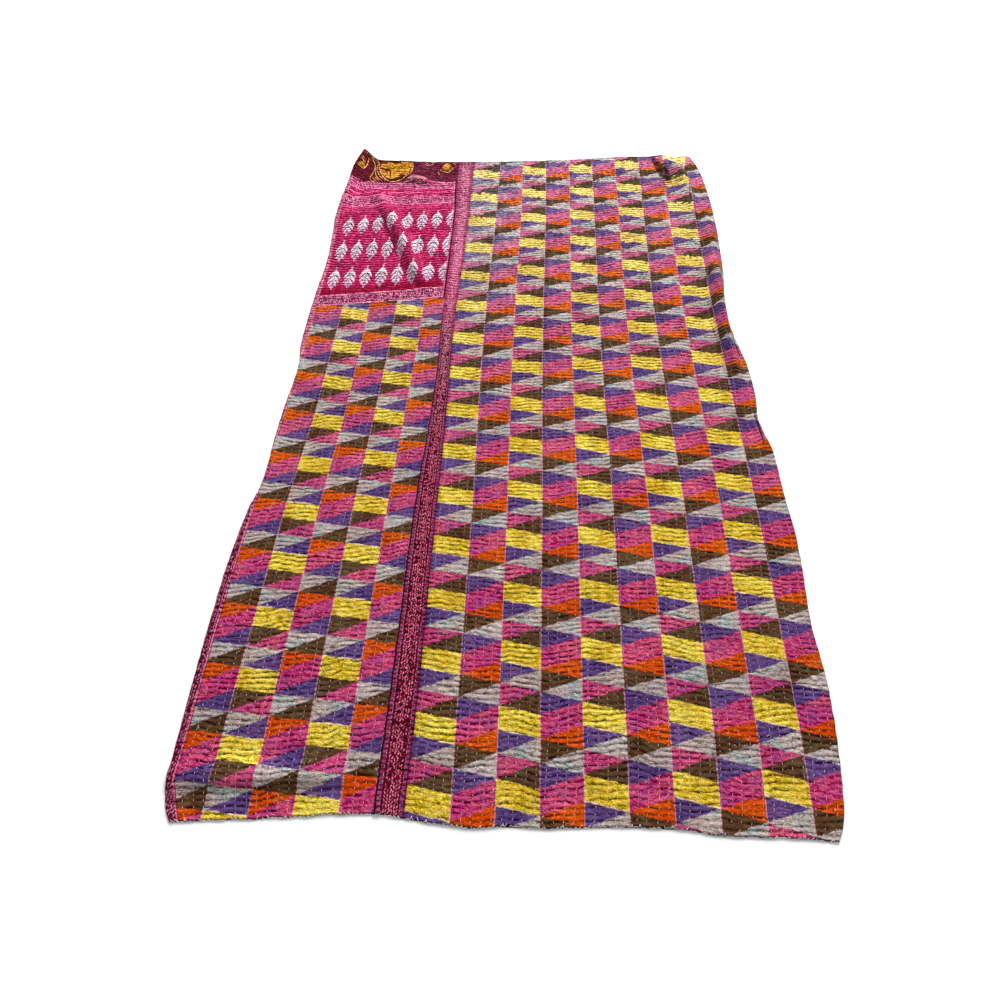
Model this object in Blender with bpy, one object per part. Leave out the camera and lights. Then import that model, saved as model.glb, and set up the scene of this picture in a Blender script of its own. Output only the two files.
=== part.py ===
"""A kantha quilt laid out flat: old sari cloths in layers, held by rows of running stitch.

Three cut pieces show.  The left and the right panel lie side by side, and the right one's
woven border laps over the left one's edge.  A strip of a third cloth is sewn across the
head end of the left panel.  The quilt lies on a level surface with a lifted corner, a
few soft folds and a turned-under stretch of its left edge.

Tables are in millimetres, the finished meshes in metres.  +X is to the right, +Y runs from
the foot end to the head end, +Z is up.  The origin is on the surface, under the middle.
"""

import math
from collections import namedtuple

import bmesh
import bpy
from mathutils import Vector

MM = 0.001

# ---------------------------------------------------------------- driving dimensions, mm
CLOTH = 3.0  # all layers of old cotton, stitched through
RIM_CLOTH = 2.2  # at the pressed outer edges
LIP = 1.2  # the border that laps over the left panel
LAP = 12.0  # how far the left panel runs under that border
SLACK = 0.3  # between two cloths that lie on each other
SEAM = 0.3  # between two cloths that meet edge to edge
RIM_SHARE = 5.0  # width of the pressed rim
LIP_SLOPE = 40.0  # from the border's edge to where it lies at the panel's own height
BORDER = 70.0  # full width of the woven border
ROW_PITCH = 26.0  # of the cross rows that carry the surface
COLUMN_PITCH = 50.0  # of the long columns in the open field
LEFT_COLUMN_PITCH = 23.0  # closer, because a slanting fold crosses this panel
END_ROWS = (0.0, 6.0, 18.0)  # extra rows near the foot and the head
HOLLOW = 0.6  # height of the slow swell that the stitching leaves in the surface
STEEPEST = 2.0  # most by which a slope may stretch the cloth's upright thickness

# ---------------------------------------------------------------- outline
# Side edges, read up the quilt.  rim is how much a turned-under edge adds to the height.
Side = namedtuple("Side", "y x rim")
LEFT_EDGE = (
    Side(-1151, -733, 0.0),
    Side(-1129, -750, 0.0),
    Side(-1099, -763, 0.0),
    Side(-1048, -770, 0.0),
    Side(-846, -778, 0.0),
    Side(-643, -781, 0.0),
    Side(-542, -777, 0.0),
    Side(-441, -767, 1.0),
    Side(-391, -754, 4.0),
    Side(-320, -749, 4.5),
    Side(-219, -752, 4.0),
    Side(-88, -749, 4.5),
    Side(13, -743, 4.5),
    Side(64, -745, 4.0),
    Side(116, -756, 1.0),
    Side(218, -760, 0.0),
    Side(350, -759, 0.0),
    Side(520, -753, 0.0),
    Side(673, -763, 0.0),
    Side(768, -768, 0.0),
    Side(853, -759, 0.0),
    Side(939, -745, 0.0),
    Side(1030, -738, 0.0),
    Side(1132, -709, 0.0),
)
RIGHT_EDGE = (
    Side(-1151, 718, 0.0),
    Side(-1129, 733, 0.0),
    Side(-1099, 744, 0.0),
    Side(-1048, 754, 0.0),
    Side(-947, 767, 0.0),
    Side(-846, 773, 0.0),
    Side(-714, 767, 0.0),
    Side(-592, 777, 0.0),
    Side(-491, 781, 0.0),
    Side(-390, 776, 0.0),
    Side(-238, 772, 0.0),
    Side(-189, 759, 1.5),
    Side(-138, 750, 2.5),
    Side(-36, 758, 1.0),
    Side(65, 753, 0.0),
    Side(163, 735, 0.0),
    Side(237, 724, 0.0),
    Side(313, 721, 0.0),
    Side(466, 742, 0.0),
    Side(673, 754, 0.0),
    Side(774, 756, 0.0),
    Side(875, 754, 0.0),
    Side(976, 747, 0.0),
    Side(1078, 732, 0.0),
    Side(1149, 708, 0.0),
)
# The left edge of the border that laps over the left panel.
LAP_EDGE = (
    Side(-1127, -289, 0.0),
    Side(-745, -288, 0.0),
    Side(-542, -290, 0.0),
    Side(-340, -287, 0.0),
    Side(-188, -280, 0.0),
    Side(-36, -276, 0.0),
    Side(65, -277, 0.0),
    Side(218, -283, 0.0),
    Side(368, -282, 0.0),
    Side(773, -284, 0.0),
    Side(925, -294, 0.0),
    Side(1106, -298, 0.0),
)
# End edges, read from left to right.
End = namedtuple("End", "x y")
FOOT_EDGE = (
    End(-733, -1151),
    End(-568, -1142),
    End(-452, -1135),
    End(-355, -1128),
    End(-290, -1126),
    End(-219, -1133),
    End(-141, -1141),
    End(-64, -1145),
    End(14, -1141),
    End(91, -1143),
    End(188, -1138),
    End(304, -1136),
    End(401, -1138),
    End(460, -1147),
    End(615, -1147),
    End(718, -1151),
)
HEAD_EDGE = (
    End(-709, 1132),
    End(-672, 1127),
    End(-640, 1121),
    End(-604, 1118),
    End(-548, 1115),
    End(-452, 1110),
    End(-296, 1108),
    End(-180, 1110),
    End(-64, 1113),
    End(91, 1121),
    End(208, 1127),
    End(285, 1136),
    End(401, 1146),
    End(517, 1149),
    End(630, 1146),
    End(670, 1151),
    End(708, 1149),
)
# Where the strip of the third cloth meets the left panel.
PATCH_EDGE = (
    End(-739, 975),
    End(-683, 970),
    End(-518, 967),
    End(-421, 972),
    End(-354, 976),
    End(-270, 977),
)

# ---------------------------------------------------------------- folds
# A fold's crest, point by point: its place, its height, and how far it spreads to the left
# and to the right of someone who walks along it.
Crest = namedtuple("Crest", "x y height left right")
FOLDS = {
    "lifted corner": (
        Crest(-709, 1132, 50, 50, 140),
        Crest(-738, 1030, 42, 50, 100),
        Crest(-746, 939, 34, 50, 80),
        Crest(-760, 853, 21, 50, 66),
        Crest(-768, 768, 8, 50, 60),
        Crest(-765, 700, 0, 50, 60),
    ),
    "slanting fold": (
        Crest(-668, 945, 0, 44, 44),
        Crest(-625, 898, 9, 46, 46),
        Crest(-576, 825, 17, 48, 48),
        Crest(-535, 741, 26, 50, 50),
        Crest(-496, 669, 28, 50, 50),
        Crest(-461, 604, 28, 50, 50),
        Crest(-429, 530, 27, 50, 50),
        Crest(-400, 463, 24, 48, 48),
        Crest(-367, 413, 11, 44, 44),
        Crest(-338, 385, 0, 40, 40),
    ),
    "head ruck": (
        Crest(-545, 993, 0, 40, 22),
        Crest(-490, 991, 15, 42, 24),
        Crest(-451, 978, 18, 42, 24),
        Crest(-415, 970, 10, 40, 24),
        Crest(-372, 966, 0, 36, 24),
    ),
    "right side fold": (
        Crest(716, -30, 0, 36, 26),
        Crest(713, 39, 14, 38, 26),
        Crest(706, 100, 28, 40, 26),
        Crest(701, 163, 38, 42, 26),
        Crest(700, 237, 45, 42, 26),
        Crest(702, 305, 46, 42, 26),
        Crest(706, 376, 44, 42, 26),
        Crest(710, 440, 38, 42, 28),
        Crest(716, 531, 26, 40, 30),
        Crest(721, 619, 18, 40, 32),
        Crest(725, 714, 13, 40, 34),
        Crest(722, 819, 8, 40, 34),
        Crest(718, 900, 0, 40, 34),
    ),
    "head corner fold": (
        Crest(578, 1165, 8, 28, 60),
        Crest(608, 1098, 22, 28, 62),
        Crest(642, 1054, 30, 28, 66),
        Crest(661, 1013, 28, 30, 66),
        Crest(671, 956, 21, 32, 62),
        Crest(675, 885, 13, 34, 56),
        Crest(678, 813, 5, 34, 50),
        Crest(680, 760, 0, 34, 50),
    ),
    "foot wave": (
        Crest(-800, -1072, 4, 44, 32),
        Crest(-690, -1068, 11, 44, 32),
        Crest(-500, -1062, 13, 44, 32),
        Crest(-385, -1058, 9, 44, 32),
        Crest(-325, -1056, 0, 44, 32),
    ),
}
# Slow swells of the surface between the stitched rows: wavelength along and across, and lean.
Swell = namedtuple("Swell", "share along across lean")
SWELLS = (
    Swell(0.50, 171, 690, 0.4),
    Swell(0.30, 263, 410, 2.1),
    Swell(0.20, 142, 1150, 4.0),
)


# ---------------------------------------------------------------- reading the tables
def smooth_read(table, at, value, place):
    """Reads column value of a table at a place along its other column, on a smooth curve."""
    spots = [getattr(row, at) for row in table]
    values = [getattr(row, value) for row in table]
    if place <= spots[0]:
        return values[0]
    if place >= spots[-1]:
        return values[-1]
    k = max(i for i, spot in enumerate(spots[:-1]) if spot <= place)
    width = spots[k + 1] - spots[k]
    t = (place - spots[k]) / width

    def slope(i):
        low, high = max(i - 1, 0), min(i + 1, len(spots) - 1)
        return (values[high] - values[low]) / (spots[high] - spots[low])

    start, end = slope(k) * width, slope(k + 1) * width
    return (
        values[k] * (2 * t**3 - 3 * t**2 + 1)
        + start * (t**3 - 2 * t**2 + t)
        + values[k + 1] * (3 * t**2 - 2 * t**3)
        + end * (t**3 - t**2)
    )


def side_at(table, y):
    return smooth_read(table, "y", "x", y)


def end_at(table, x):
    return smooth_read(table, "x", "y", x)


def ramp(value):
    """0 to 1 on a soft curve."""
    t = min(max(value, 0.0), 1.0)
    return t * t * (3 - 2 * t)


# ---------------------------------------------------------------- the surface it lies in
def fold_height(crests, x, y):
    """Height of one fold over the point, a soft ridge on the nearest stretch of its crest."""
    best = 0.0
    for a, b in zip(crests, crests[1:]):
        run_x, run_y = b.x - a.x, b.y - a.y
        length = math.hypot(run_x, run_y)
        t = ((x - a.x) * run_x + (y - a.y) * run_y) / length**2
        t = min(max(t, 0.0), 1.0)
        off_x, off_y = x - a.x - t * run_x, y - a.y - t * run_y
        on_left = run_x * off_y - run_y * off_x > 0
        reach = (a.left + t * (b.left - a.left)) if on_left else (a.right + t * (b.right - a.right))
        share = math.hypot(off_x, off_y) / reach
        if share < 1:
            height = a.height + t * (b.height - a.height)
            best = max(best, height * math.cos(share * math.pi / 2) ** 2)
    return best


def by_the_lap(x, y):
    """0 where the border laps over the left panel and 1 away from it."""
    off = x - side_at(LAP_EDGE, y) - LAP / 2
    return ramp((abs(off) - LAP) / LIP_SLOPE)


def underside(x, y):
    """Height of the quilt's underside: zero where it rests, raised in the folds."""
    return by_the_lap(x, y) * max(fold_height(crests, x, y) for crests in FOLDS.values())


def swell(x, y):
    """Share of the slow swell at the point, from -1 to 1, none where two cloths lap."""
    total = 0.0
    for s in SWELLS:
        turn = 2 * math.pi * (y / s.along + math.sin(2 * math.pi * x / s.across + s.lean) / 3)
        total += s.share * math.sin(turn + s.lean)
    return total * by_the_lap(x, y)


def upright_thickness(x, y):
    """The cloth's thickness measured upright, which a slope stretches."""
    step = 4.0
    rise_x = (underside(x + step, y) - underside(x - step, y)) / (2 * step)
    rise_y = (underside(x, y + step) - underside(x, y - step)) / (2 * step)
    return CLOTH * min(math.sqrt(1 + rise_x**2 + rise_y**2), STEEPEST)


def lip_rise(x, y):
    """How much higher the top lies where the border rests on the left panel."""
    off = x - side_at(LAP_EDGE, y)
    return (SLACK + LIP) * (1 - ramp((off - LAP) / (LIP_SLOPE - LAP)))


def rim_share(off):
    """1 at an outer edge and 0 past the pressed rim."""
    return 1 - ramp(off / RIM_SHARE)


def turned_share(off):
    """The round back of a turned-under edge: none at its foot, full on top, none inside."""
    return ramp((off + 3) / 9) * (1 - ramp((off - 8) / 22))


def top(x, y, laps):
    """Height of the upper face.  laps is true on the panel whose border laps over."""
    left, right = side_at(LEFT_EDGE, y), side_at(RIGHT_EDGE, y)
    to_edge = min(x - left, right - x, y - end_at(FOOT_EDGE, x), end_at(HEAD_EDGE, x) - y)
    thick = upright_thickness(x, y) + HOLLOW * swell(x, y)
    thick -= (CLOTH - RIM_CLOTH) * rim_share(max(to_edge, 0.0)) * by_the_lap(x, y)
    thick += smooth_read(LEFT_EDGE, "y", "rim", y) * turned_share(x - left)
    thick += smooth_read(RIGHT_EDGE, "y", "rim", y) * turned_share(right - x)
    if laps:
        thick += lip_rise(x, y)
    return underside(x, y) + thick


# ---------------------------------------------------------------- rows and columns
def spread(length, pitch):
    """Places along a length, close to a pitch apart, both ends included."""
    count = max(1, round(length / pitch))
    return [length * k / count for k in range(count + 1)]


def row_places(foot, head, at_foot=True, at_head=True):
    """Shares from 0 at the foot to 1 at the head, closer together at a free end."""
    length = head - foot
    low = END_ROWS if at_foot else END_ROWS[:1]
    high = END_ROWS if at_head else END_ROWS[:1]
    middle = spread(length - low[-1] - high[-1], ROW_PITCH)
    places = list(low[:-1]) + [low[-1] + m for m in middle] + [length - h for h in high[-2::-1]]
    return [place / length for place in places]


def grid(rows, columns, foot, head, height):
    """Points row by row.  A column gives x for a y, and foot and head give the end edges."""
    points = []
    for share in rows:
        line = []
        for column in columns:
            y = foot(column(0.0)) + share * (head(column(0.0)) - foot(column(0.0)))
            for _ in range(3):
                x = column(y)
                y = foot(x) + share * (head(x) - foot(x))
            line.append(Vector((x, y, height(x, y))) * MM)
        points.append(line)
    return points


def between(from_left, share):
    """A column of the left panel: a distance from its free edge, then a share of the rest."""

    def column(y):
        left = side_at(LEFT_EDGE, y) + from_left
        right = side_at(LAP_EDGE, y) + LAP
        return left + share * (right - left)

    return column


def left_columns():
    near_edge = [between(off, 0.0) for off in (0.0, 5.0, 13.0)]
    inner = 28.0
    width = side_at(LAP_EDGE, 0) + LAP - side_at(LEFT_EDGE, 0) - inner
    rest = [between(inner, place / width) for place in spread(width, LEFT_COLUMN_PITCH)]
    return near_edge + rest


def from_lap(off):
    return lambda y: side_at(LAP_EDGE, y) + off


def from_right(off):
    return lambda y: side_at(RIGHT_EDGE, y) - off


def across_field(share, inner):
    def column(y):
        left = side_at(LAP_EDGE, y) + BORDER
        right = side_at(RIGHT_EDGE, y) - inner
        return left + share * (right - left)

    return column


def right_columns():
    """The open field of the right panel, from the border's far side to the right edge."""
    inner = 112.0
    width = side_at(RIGHT_EDGE, 0) - inner - side_at(LAP_EDGE, 0) - BORDER
    field = [across_field(place / width, inner) for place in spread(width, COLUMN_PITCH)]
    near_edge = [from_right(off) for off in (90.0, 72.0, 56.0, 42.0, 30.0, 19.0, 11.0, 5.0, 0.0)]
    return field + near_edge


# ---------------------------------------------------------------- closed cloths
def cell(bm, a, b, c, d):
    """Two triangles, parted along the diagonal that climbs less and so runs with a fold."""
    if abs(a.co.z - c.co.z) <= abs(b.co.z - d.co.z):
        bm.faces.new((a, b, c))
        bm.faces.new((a, c, d))
    else:
        bm.faces.new((a, b, d))
        bm.faces.new((b, c, d))


def strip(bm, low, high):
    """Fills the wall between two lines of points that run the same way, with triangles."""
    i, j = 0, 0
    while i < len(low) - 1 or j < len(high) - 1:
        step_low = j == len(high) - 1
        if i < len(low) - 1 and j < len(high) - 1:
            rise_low = (low[i + 1].co - high[j].co).length
            rise_high = (low[i].co - high[j + 1].co).length
            step_low = rise_low <= rise_high
        if step_low:
            bm.faces.new((low[i], low[i + 1], high[j]))
            i += 1
        else:
            bm.faces.new((low[i], high[j + 1], high[j]))
            j += 1


def closed_cloth(name, under, over, material):
    """One closed solid from its underside and its upper face, both as rows of points."""
    bm = bmesh.new()
    faces = []
    for points in (under, over):
        corners = [[bm.verts.new(point) for point in line] for line in points]
        for near, far in zip(corners, corners[1:]):
            for k in range(len(near) - 1):
                cell(bm, near[k], near[k + 1], far[k + 1], far[k])
        faces.append(corners)
    low, high = faces
    for side in (0, -1):
        for near in range(len(low) - 1):
            far = near + 1
            cell(bm, low[near][side], low[far][side], high[far][side], high[near][side])
    for end in (0, -1):
        strip(bm, low[end], high[end])
    bmesh.ops.recalc_face_normals(bm, faces=bm.faces)
    mesh = bpy.data.meshes.new(name)
    bm.to_mesh(mesh)
    bm.free()
    mesh.materials.append(material)
    cloth = bpy.data.objects.new(name, mesh)
    bpy.context.scene.collection.objects.link(cloth)
    return cloth


def cotton(name, red, green, blue):
    """Old washed cotton, quite matt."""
    material = bpy.data.materials.new(name)
    material.use_nodes = True
    shader = material.node_tree.nodes["Principled BSDF"]
    shader.inputs["Base Color"].default_value = (red, green, blue, 1.0)
    shader.inputs["Roughness"].default_value = 0.9
    shader.inputs["Metallic"].default_value = 0.0
    return material


# ---------------------------------------------------------------- the three pieces
def foot_line(x):
    return end_at(FOOT_EDGE, x)


def head_line(x):
    return end_at(HEAD_EDGE, x)


def below_patch(x):
    return end_at(PATCH_EDGE, x) - SEAM / 2


def above_patch(x):
    return end_at(PATCH_EDGE, x) + SEAM / 2


def left_panel():
    """The narrower printed cloth, its leaf-patterned end towards the head."""
    rows = row_places(FOOT_EDGE[0].y, PATCH_EDGE[0].y, at_head=False)
    columns = left_columns()
    under = grid(rows, columns, foot_line, below_patch, underside)
    over = grid(rows, columns, foot_line, below_patch, lambda x, y: top(x, y, False))
    return closed_cloth("left_panel", under, over, cotton("washed_pink_cotton", 0.48, 0.16, 0.22))


def head_patch():
    """The strip of a third, dark cloth across the head end of the left panel."""
    rows = row_places(PATCH_EDGE[0].y, HEAD_EDGE[0].y, at_foot=False)
    columns = left_columns()
    under = grid(rows, columns, above_patch, head_line, underside)
    over = grid(rows, columns, above_patch, head_line, lambda x, y: top(x, y, False))
    return closed_cloth("head_patch", under, over, cotton("plum_cotton", 0.09, 0.02, 0.05))


def right_panel():
    """The full width of cloth, with the woven border that laps over the left panel."""
    rows = row_places(FOOT_EDGE[0].y, HEAD_EDGE[-1].y)
    field = right_columns()
    wall = LAP + SEAM
    lip_under = [from_lap(0.0), from_lap(wall)]
    under_lip = grid(
        rows,
        lip_under,
        foot_line,
        head_line,
        lambda x, y: underside(x, y) + CLOTH + SLACK,
    )
    rest = [from_lap(wall), from_lap(LIP_SLOPE)] + field
    under_rest = grid(rows, rest, foot_line, head_line, underside)
    under = [lip + line for lip, line in zip(under_lip, under_rest)]
    over_columns = [from_lap(0.0), from_lap(wall + 2.0), from_lap(LIP_SLOPE)] + field
    over = grid(rows, over_columns, foot_line, head_line, lambda x, y: top(x, y, True))
    return closed_cloth("right_panel", under, over, cotton("washed_rose_cotton", 0.50, 0.20, 0.20))


def main():
    for old in list(bpy.data.objects):
        bpy.data.objects.remove(old)
    left_panel()
    head_patch()
    right_panel()


main()
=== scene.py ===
"""The looks of a kantha quilt: printed sari cotton, rippled by close rows of running stitch.

Lengths in the tables are in millimetres and meshes are in metres.  +X is to the right, +Y runs
from the foot end to the head end, +Z is up, and the quilt lies on the level surface z = 0.
"""

import ast
import math
from collections import namedtuple

import bpy
import numpy as np
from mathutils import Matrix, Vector

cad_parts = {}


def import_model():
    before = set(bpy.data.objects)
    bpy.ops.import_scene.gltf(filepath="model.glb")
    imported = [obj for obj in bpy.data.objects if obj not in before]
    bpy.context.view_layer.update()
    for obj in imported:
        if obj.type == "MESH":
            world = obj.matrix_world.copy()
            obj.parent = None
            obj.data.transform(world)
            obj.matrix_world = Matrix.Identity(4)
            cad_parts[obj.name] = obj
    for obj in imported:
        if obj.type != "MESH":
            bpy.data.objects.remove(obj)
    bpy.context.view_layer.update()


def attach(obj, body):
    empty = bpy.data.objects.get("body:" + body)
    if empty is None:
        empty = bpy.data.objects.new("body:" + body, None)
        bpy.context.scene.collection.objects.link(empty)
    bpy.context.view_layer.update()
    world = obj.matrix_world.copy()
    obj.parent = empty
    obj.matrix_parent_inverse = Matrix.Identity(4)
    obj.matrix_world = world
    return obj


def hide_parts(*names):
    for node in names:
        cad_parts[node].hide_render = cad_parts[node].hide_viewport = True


MM = 0.001

# ---------------------------------------------------------------- cloth sizes, mm
CLOTH = 3.0  # all the stitched layers together
LAP = 12.0  # how far the border laps over the left panel
SLACK = 0.3  # air between the two cloths in the lap
LIP = 1.2  # how much more the border stands up over the lap
LIP_SLOPE = 40.0  # how far from that edge the border is level again
SEAM = 0.3  # gap between the left panel and the head strip
HOLLOW = 0.6  # height of the slow swells
STEEPEST = 2.0  # most that a slope adds to the thickness, measured upright, as a factor
ROUNDING = 3.0  # radius of the turned outer edges
SEAM_ROUNDING = 2.5
LAP_ROUNDING = 1.4
SIDE_UNEVEN = 0.8  # how far the ripples push the sides in and out
END_UNEVEN = 1.3
RIPPLE_HEIGHT = 2.1  # of the puckers between two troughs, which are 12.1 mm apart
HEAD_RISE = 0.55  # how much higher the puckers are at the head end
RIPPLE_MIDDLE = 0.66  # the part of a pucker's height that lies below the cloth's plain surface
ROW_PITCH = 23.4  # between two rows of running stitch
FURROW_WIDTH = 5.5
FURROW_DEPTH = 0.5
PINCH_WIDTH = 4.5
PINCH_DEPTH = 1.4
STITCH_WIDTH, STITCH_RISE = 1.15, 0.6  # of a sewing thread, pressed flat into the cloth
STRAY_WIDTH, STRAY_RISE = 0.8, 0.5
OVERCAST_PITCH = 5.0
COLUMN_WIDTH = 100.0  # of the printed columns
BANDS_PER_REPEAT = 3
FIRST_BAND = 0.75
PATCH_CORNER = (-740.0, 970.0)  # x and y from which the head strip's print is measured

# ---------------------------------------------------------------- counts
RIPPLES = 190  # from foot to head
LEFT_RIPPLES = 176  # of them in the left panel
HEAD_RIPPLES = 13  # and in the head strip
PER_RIPPLE = 4  # cross lines of points to a ripple: its trough, its crest and half way
PER_UNDER_LINE = 5  # cross lines of the upper face to one of the under face
SETTLING_ROUNDS = 14  # after which the cross lines no longer move


def table_of(kind, *rows):
    """A table whose rows have named columns."""
    return [kind(*row) for row in rows]


# ---------------------------------------------------------------- outline
# rim is how high a turned-under side stands.
Side = namedtuple("Side", "y x rim", defaults=[0.0])
LEFT_EDGE = table_of(
    Side,
    (-1151, -733), (-1129, -750), (-1099, -763), (-1048, -770), (-846, -778), (-643, -781),
    (-542, -777), (-441, -767, 1.0), (-391, -754, 4.0), (-320, -749, 4.5), (-219, -752, 4.0),
    (-88, -749, 4.5), (13, -743, 4.5), (64, -745, 4.0), (116, -756, 1.0), (218, -760),
    (350, -759), (520, -753), (673, -763), (768, -768), (853, -759), (939, -745), (1030, -738),
    (1132, -709),
)
RIGHT_EDGE = table_of(
    Side,
    (-1151, 718), (-1129, 733), (-1099, 744), (-1048, 754), (-947, 767), (-846, 773),
    (-714, 767), (-592, 777), (-491, 781), (-390, 776), (-238, 772), (-189, 759, 1.5),
    (-138, 750, 2.5), (-36, 758, 1.0), (65, 753), (163, 735), (237, 724), (313, 721),
    (466, 742), (673, 754), (774, 756), (875, 754), (976, 747), (1078, 732), (1149, 708),
)
LAP_EDGE = table_of(
    Side,
    (-1127, -289), (-745, -288), (-542, -290), (-340, -287), (-188, -280), (-36, -276),
    (65, -277), (218, -283), (368, -282), (773, -284), (925, -294), (1106, -298),
)
# Where the speckled border of the right panel ends and its field begins.
FIELD_EDGE = table_of(
    Side,
    (-1127, -219), (-846, -218), (-542, -223), (-238, -226), (-35, -230), (168, -236),
    (320, -236), (523, -231), (776, -229), (1110, -231),
)
# Where the speckled side border of the left panel ends.
LEFT_FIELD_EDGE = table_of(
    Side,
    (-1151, -711), (-1099, -738), (-1048, -747), (-846, -753), (-643, -755), (-441, -750),
    (-320, -748), (64, -744), (218, -743), (520, -738), (768, -750), (939, -729), (1030, -722),
)
End = namedtuple("End", "x y")
FOOT_EDGE = table_of(
    End,
    (-733, -1151), (-568, -1142), (-452, -1135), (-355, -1128), (-290, -1126), (-219, -1133),
    (-141, -1141), (-64, -1145), (14, -1141), (91, -1143), (188, -1138), (304, -1136),
    (401, -1138), (460, -1147), (615, -1147), (718, -1151),
)
HEAD_EDGE = table_of(
    End,
    (-709, 1132), (-672, 1127), (-640, 1121), (-604, 1118), (-548, 1115), (-452, 1110),
    (-296, 1108), (-180, 1110), (-64, 1113), (91, 1121), (208, 1127), (285, 1136), (401, 1146),
    (517, 1149), (630, 1146), (670, 1151), (708, 1149),
)
PATCH_EDGE = table_of(
    End,
    (-739, 975), (-683, 970), (-518, 967), (-421, 972), (-354, 976), (-270, 977),
)

# ---------------------------------------------------------------- folds
# Each fold is a crest line, with its height and how far it falls off to its left and right.
Crest = namedtuple("Crest", "x y height left right")
FOLDS = {
    "lifted corner": table_of(
        Crest,
        (-709, 1132, 50, 50, 140), (-738, 1030, 42, 50, 100), (-746, 939, 34, 50, 80),
        (-760, 853, 21, 50, 66), (-768, 768, 8, 50, 60), (-765, 700, 0, 50, 60),
    ),
    "slanting fold": table_of(
        Crest,
        (-668, 945, 0, 44, 44), (-625, 898, 9, 46, 46), (-576, 825, 17, 48, 48),
        (-535, 741, 26, 50, 50), (-496, 669, 28, 50, 50), (-461, 604, 28, 50, 50),
        (-429, 530, 27, 50, 50), (-400, 463, 24, 48, 48), (-367, 413, 11, 44, 44),
        (-338, 385, 0, 40, 40),
    ),
    "head ruck": table_of(
        Crest,
        (-545, 993, 0, 40, 22), (-490, 991, 15, 42, 24), (-451, 978, 18, 42, 24),
        (-415, 970, 10, 40, 24), (-372, 966, 0, 36, 24),
    ),
    "right side fold": table_of(
        Crest,
        (716, -30, 0, 36, 26), (713, 39, 14, 38, 26), (706, 100, 28, 40, 26),
        (701, 163, 38, 42, 26), (700, 237, 45, 42, 26), (702, 305, 46, 42, 26),
        (706, 376, 44, 42, 26), (710, 440, 38, 42, 28), (716, 531, 26, 40, 30),
        (721, 619, 18, 40, 32), (725, 714, 13, 40, 34), (722, 819, 8, 40, 34),
        (718, 900, 0, 40, 34),
    ),
    "head corner fold": table_of(
        Crest,
        (578, 1165, 8, 28, 60), (608, 1098, 22, 28, 62), (642, 1054, 30, 28, 66),
        (661, 1013, 28, 30, 66), (671, 956, 21, 32, 62), (675, 885, 13, 34, 56),
        (678, 813, 5, 34, 50), (680, 760, 0, 34, 50),
    ),
    "foot wave": table_of(
        Crest,
        (-800, -1072, 4, 44, 32), (-690, -1068, 11, 44, 32), (-500, -1062, 13, 44, 32),
        (-385, -1058, 9, 44, 32), (-325, -1056, 0, 44, 32),
    ),
}
# Two narrow creases that the printed cloth is pinched into: where they run, and how deep.
Pinch = namedtuple("Pinch", "y x deep")
PINCHES = table_of(
    Pinch,
    (-258, 757, 0.0), (-222, 751, 0.7), (-195, 748, 1.0), (-155, 744, 1.0), (-122, 741, 0.9),
    (-100, 744, 0.0), (800, 664, 0.0), (850, 668, 0.4), (905, 673, 0.8), (965, 679, 0.7),
    (1010, 676, 0.0),
)
# Slow waves that run along the cloth, bent from side to side.
Swell = namedtuple("Swell", "share along across lean")
SWELLS = table_of(
    Swell,
    (0.50, 171, 690, 0.4), (0.30, 263, 410, 2.1), (0.20, 142, 1150, 4.0),
)

# ---------------------------------------------------------------- how the prints lie
# The printed columns are 100 mm wide and repeat every two; the harlequin repeats every 141 mm.
# Each row of a table of places gives one y (or x), then the x (or y) at which each of the
# numbers above it is reached there.
RIGHT_COLUMNS = (0.5, 2.5, 4.5, 6.5, 8.5)
RIGHT_COLUMN_PLACES = (
    (-1100, -168.3, 29.5, 226, 425, 625),
    (-940, -170.7, 28.0, 228.6, 433.5, 633.7),
    (-400, -172.2, 27.3, 229.7, 432.3, 637.3),
    (20, -180.8, 23.4, 225.0, 419.4, 628.4),
    (320, -180.6, 26.0, 224.7, 415.9, 623.3),
    (780, -168.0, 33.0, 228.4, 424.4, 628.0),
    (1100, -166.0, 30.0, 231.0, 428.0, 640.0),
)
RIGHT_REPEATS = (0, 5, 10, 15)
RIGHT_REPEAT_PLACES = (
    (-170, -1103.7, -402.4, 303.9, 1021.0),
    (28, -1089.1, -380.1, 332.4, 1046.2),
    (228, -1077.5, -372.3, 345.1, 1061.8),
    (425, -1066.5, -366.6, 358.3, 1086.5),
    (630, -1060.0, -346.7, 380.4, 1120.0),
)
LEFT_COLUMNS = (1.5, 3.5)
LEFT_COLUMN_PLACES = (
    (-1130, -616.0, -415.0),
    (-880, -618.5, -419.0),
    (-450, -612.9, -417.0),
    (-150, -598.5, -408.0),
    (120, -596.0, -402.0),
    (300, -597.0, -404.0),
)
LEFT_REPEATS = (1, 5, 9)
LEFT_REPEAT_PLACES = (
    (-616, -1015.0, -454.5, 117.6),
    (-412, -983.4, -429.3, 137.4),
)
# The leaf-patterned end of the left panel: where each band begins, at its two sides.  They are
# the speckled stripe, a pink line, two rows of leaves, two dark stripes, and a speckled one.
BANDS = (302, 352, 373, 504, 640, 776, 815, 876, 921, 970)
END_BAND_PLACES = (
    (-740, 294, 343, 368, 502, 640, 776, 815, 876, 921, 970),
    (-300, 342, 392, 414, 540, 694, 826, 845, 889, 931, 977),
)


# ---------------------------------------------------------------- reading the tables
def smooth_between(t, width, start, start_slope, end, end_slope):
    """A smooth curve from one value and slope to the next; t runs from 0 to 1."""
    return (
        start * (2 * t**3 - 3 * t**2 + 1)
        + start_slope * width * (t**3 - 2 * t**2 + t)
        + end * (3 * t**2 - 2 * t**3)
        + end_slope * width * (t**3 - t**2)
    )


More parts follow.
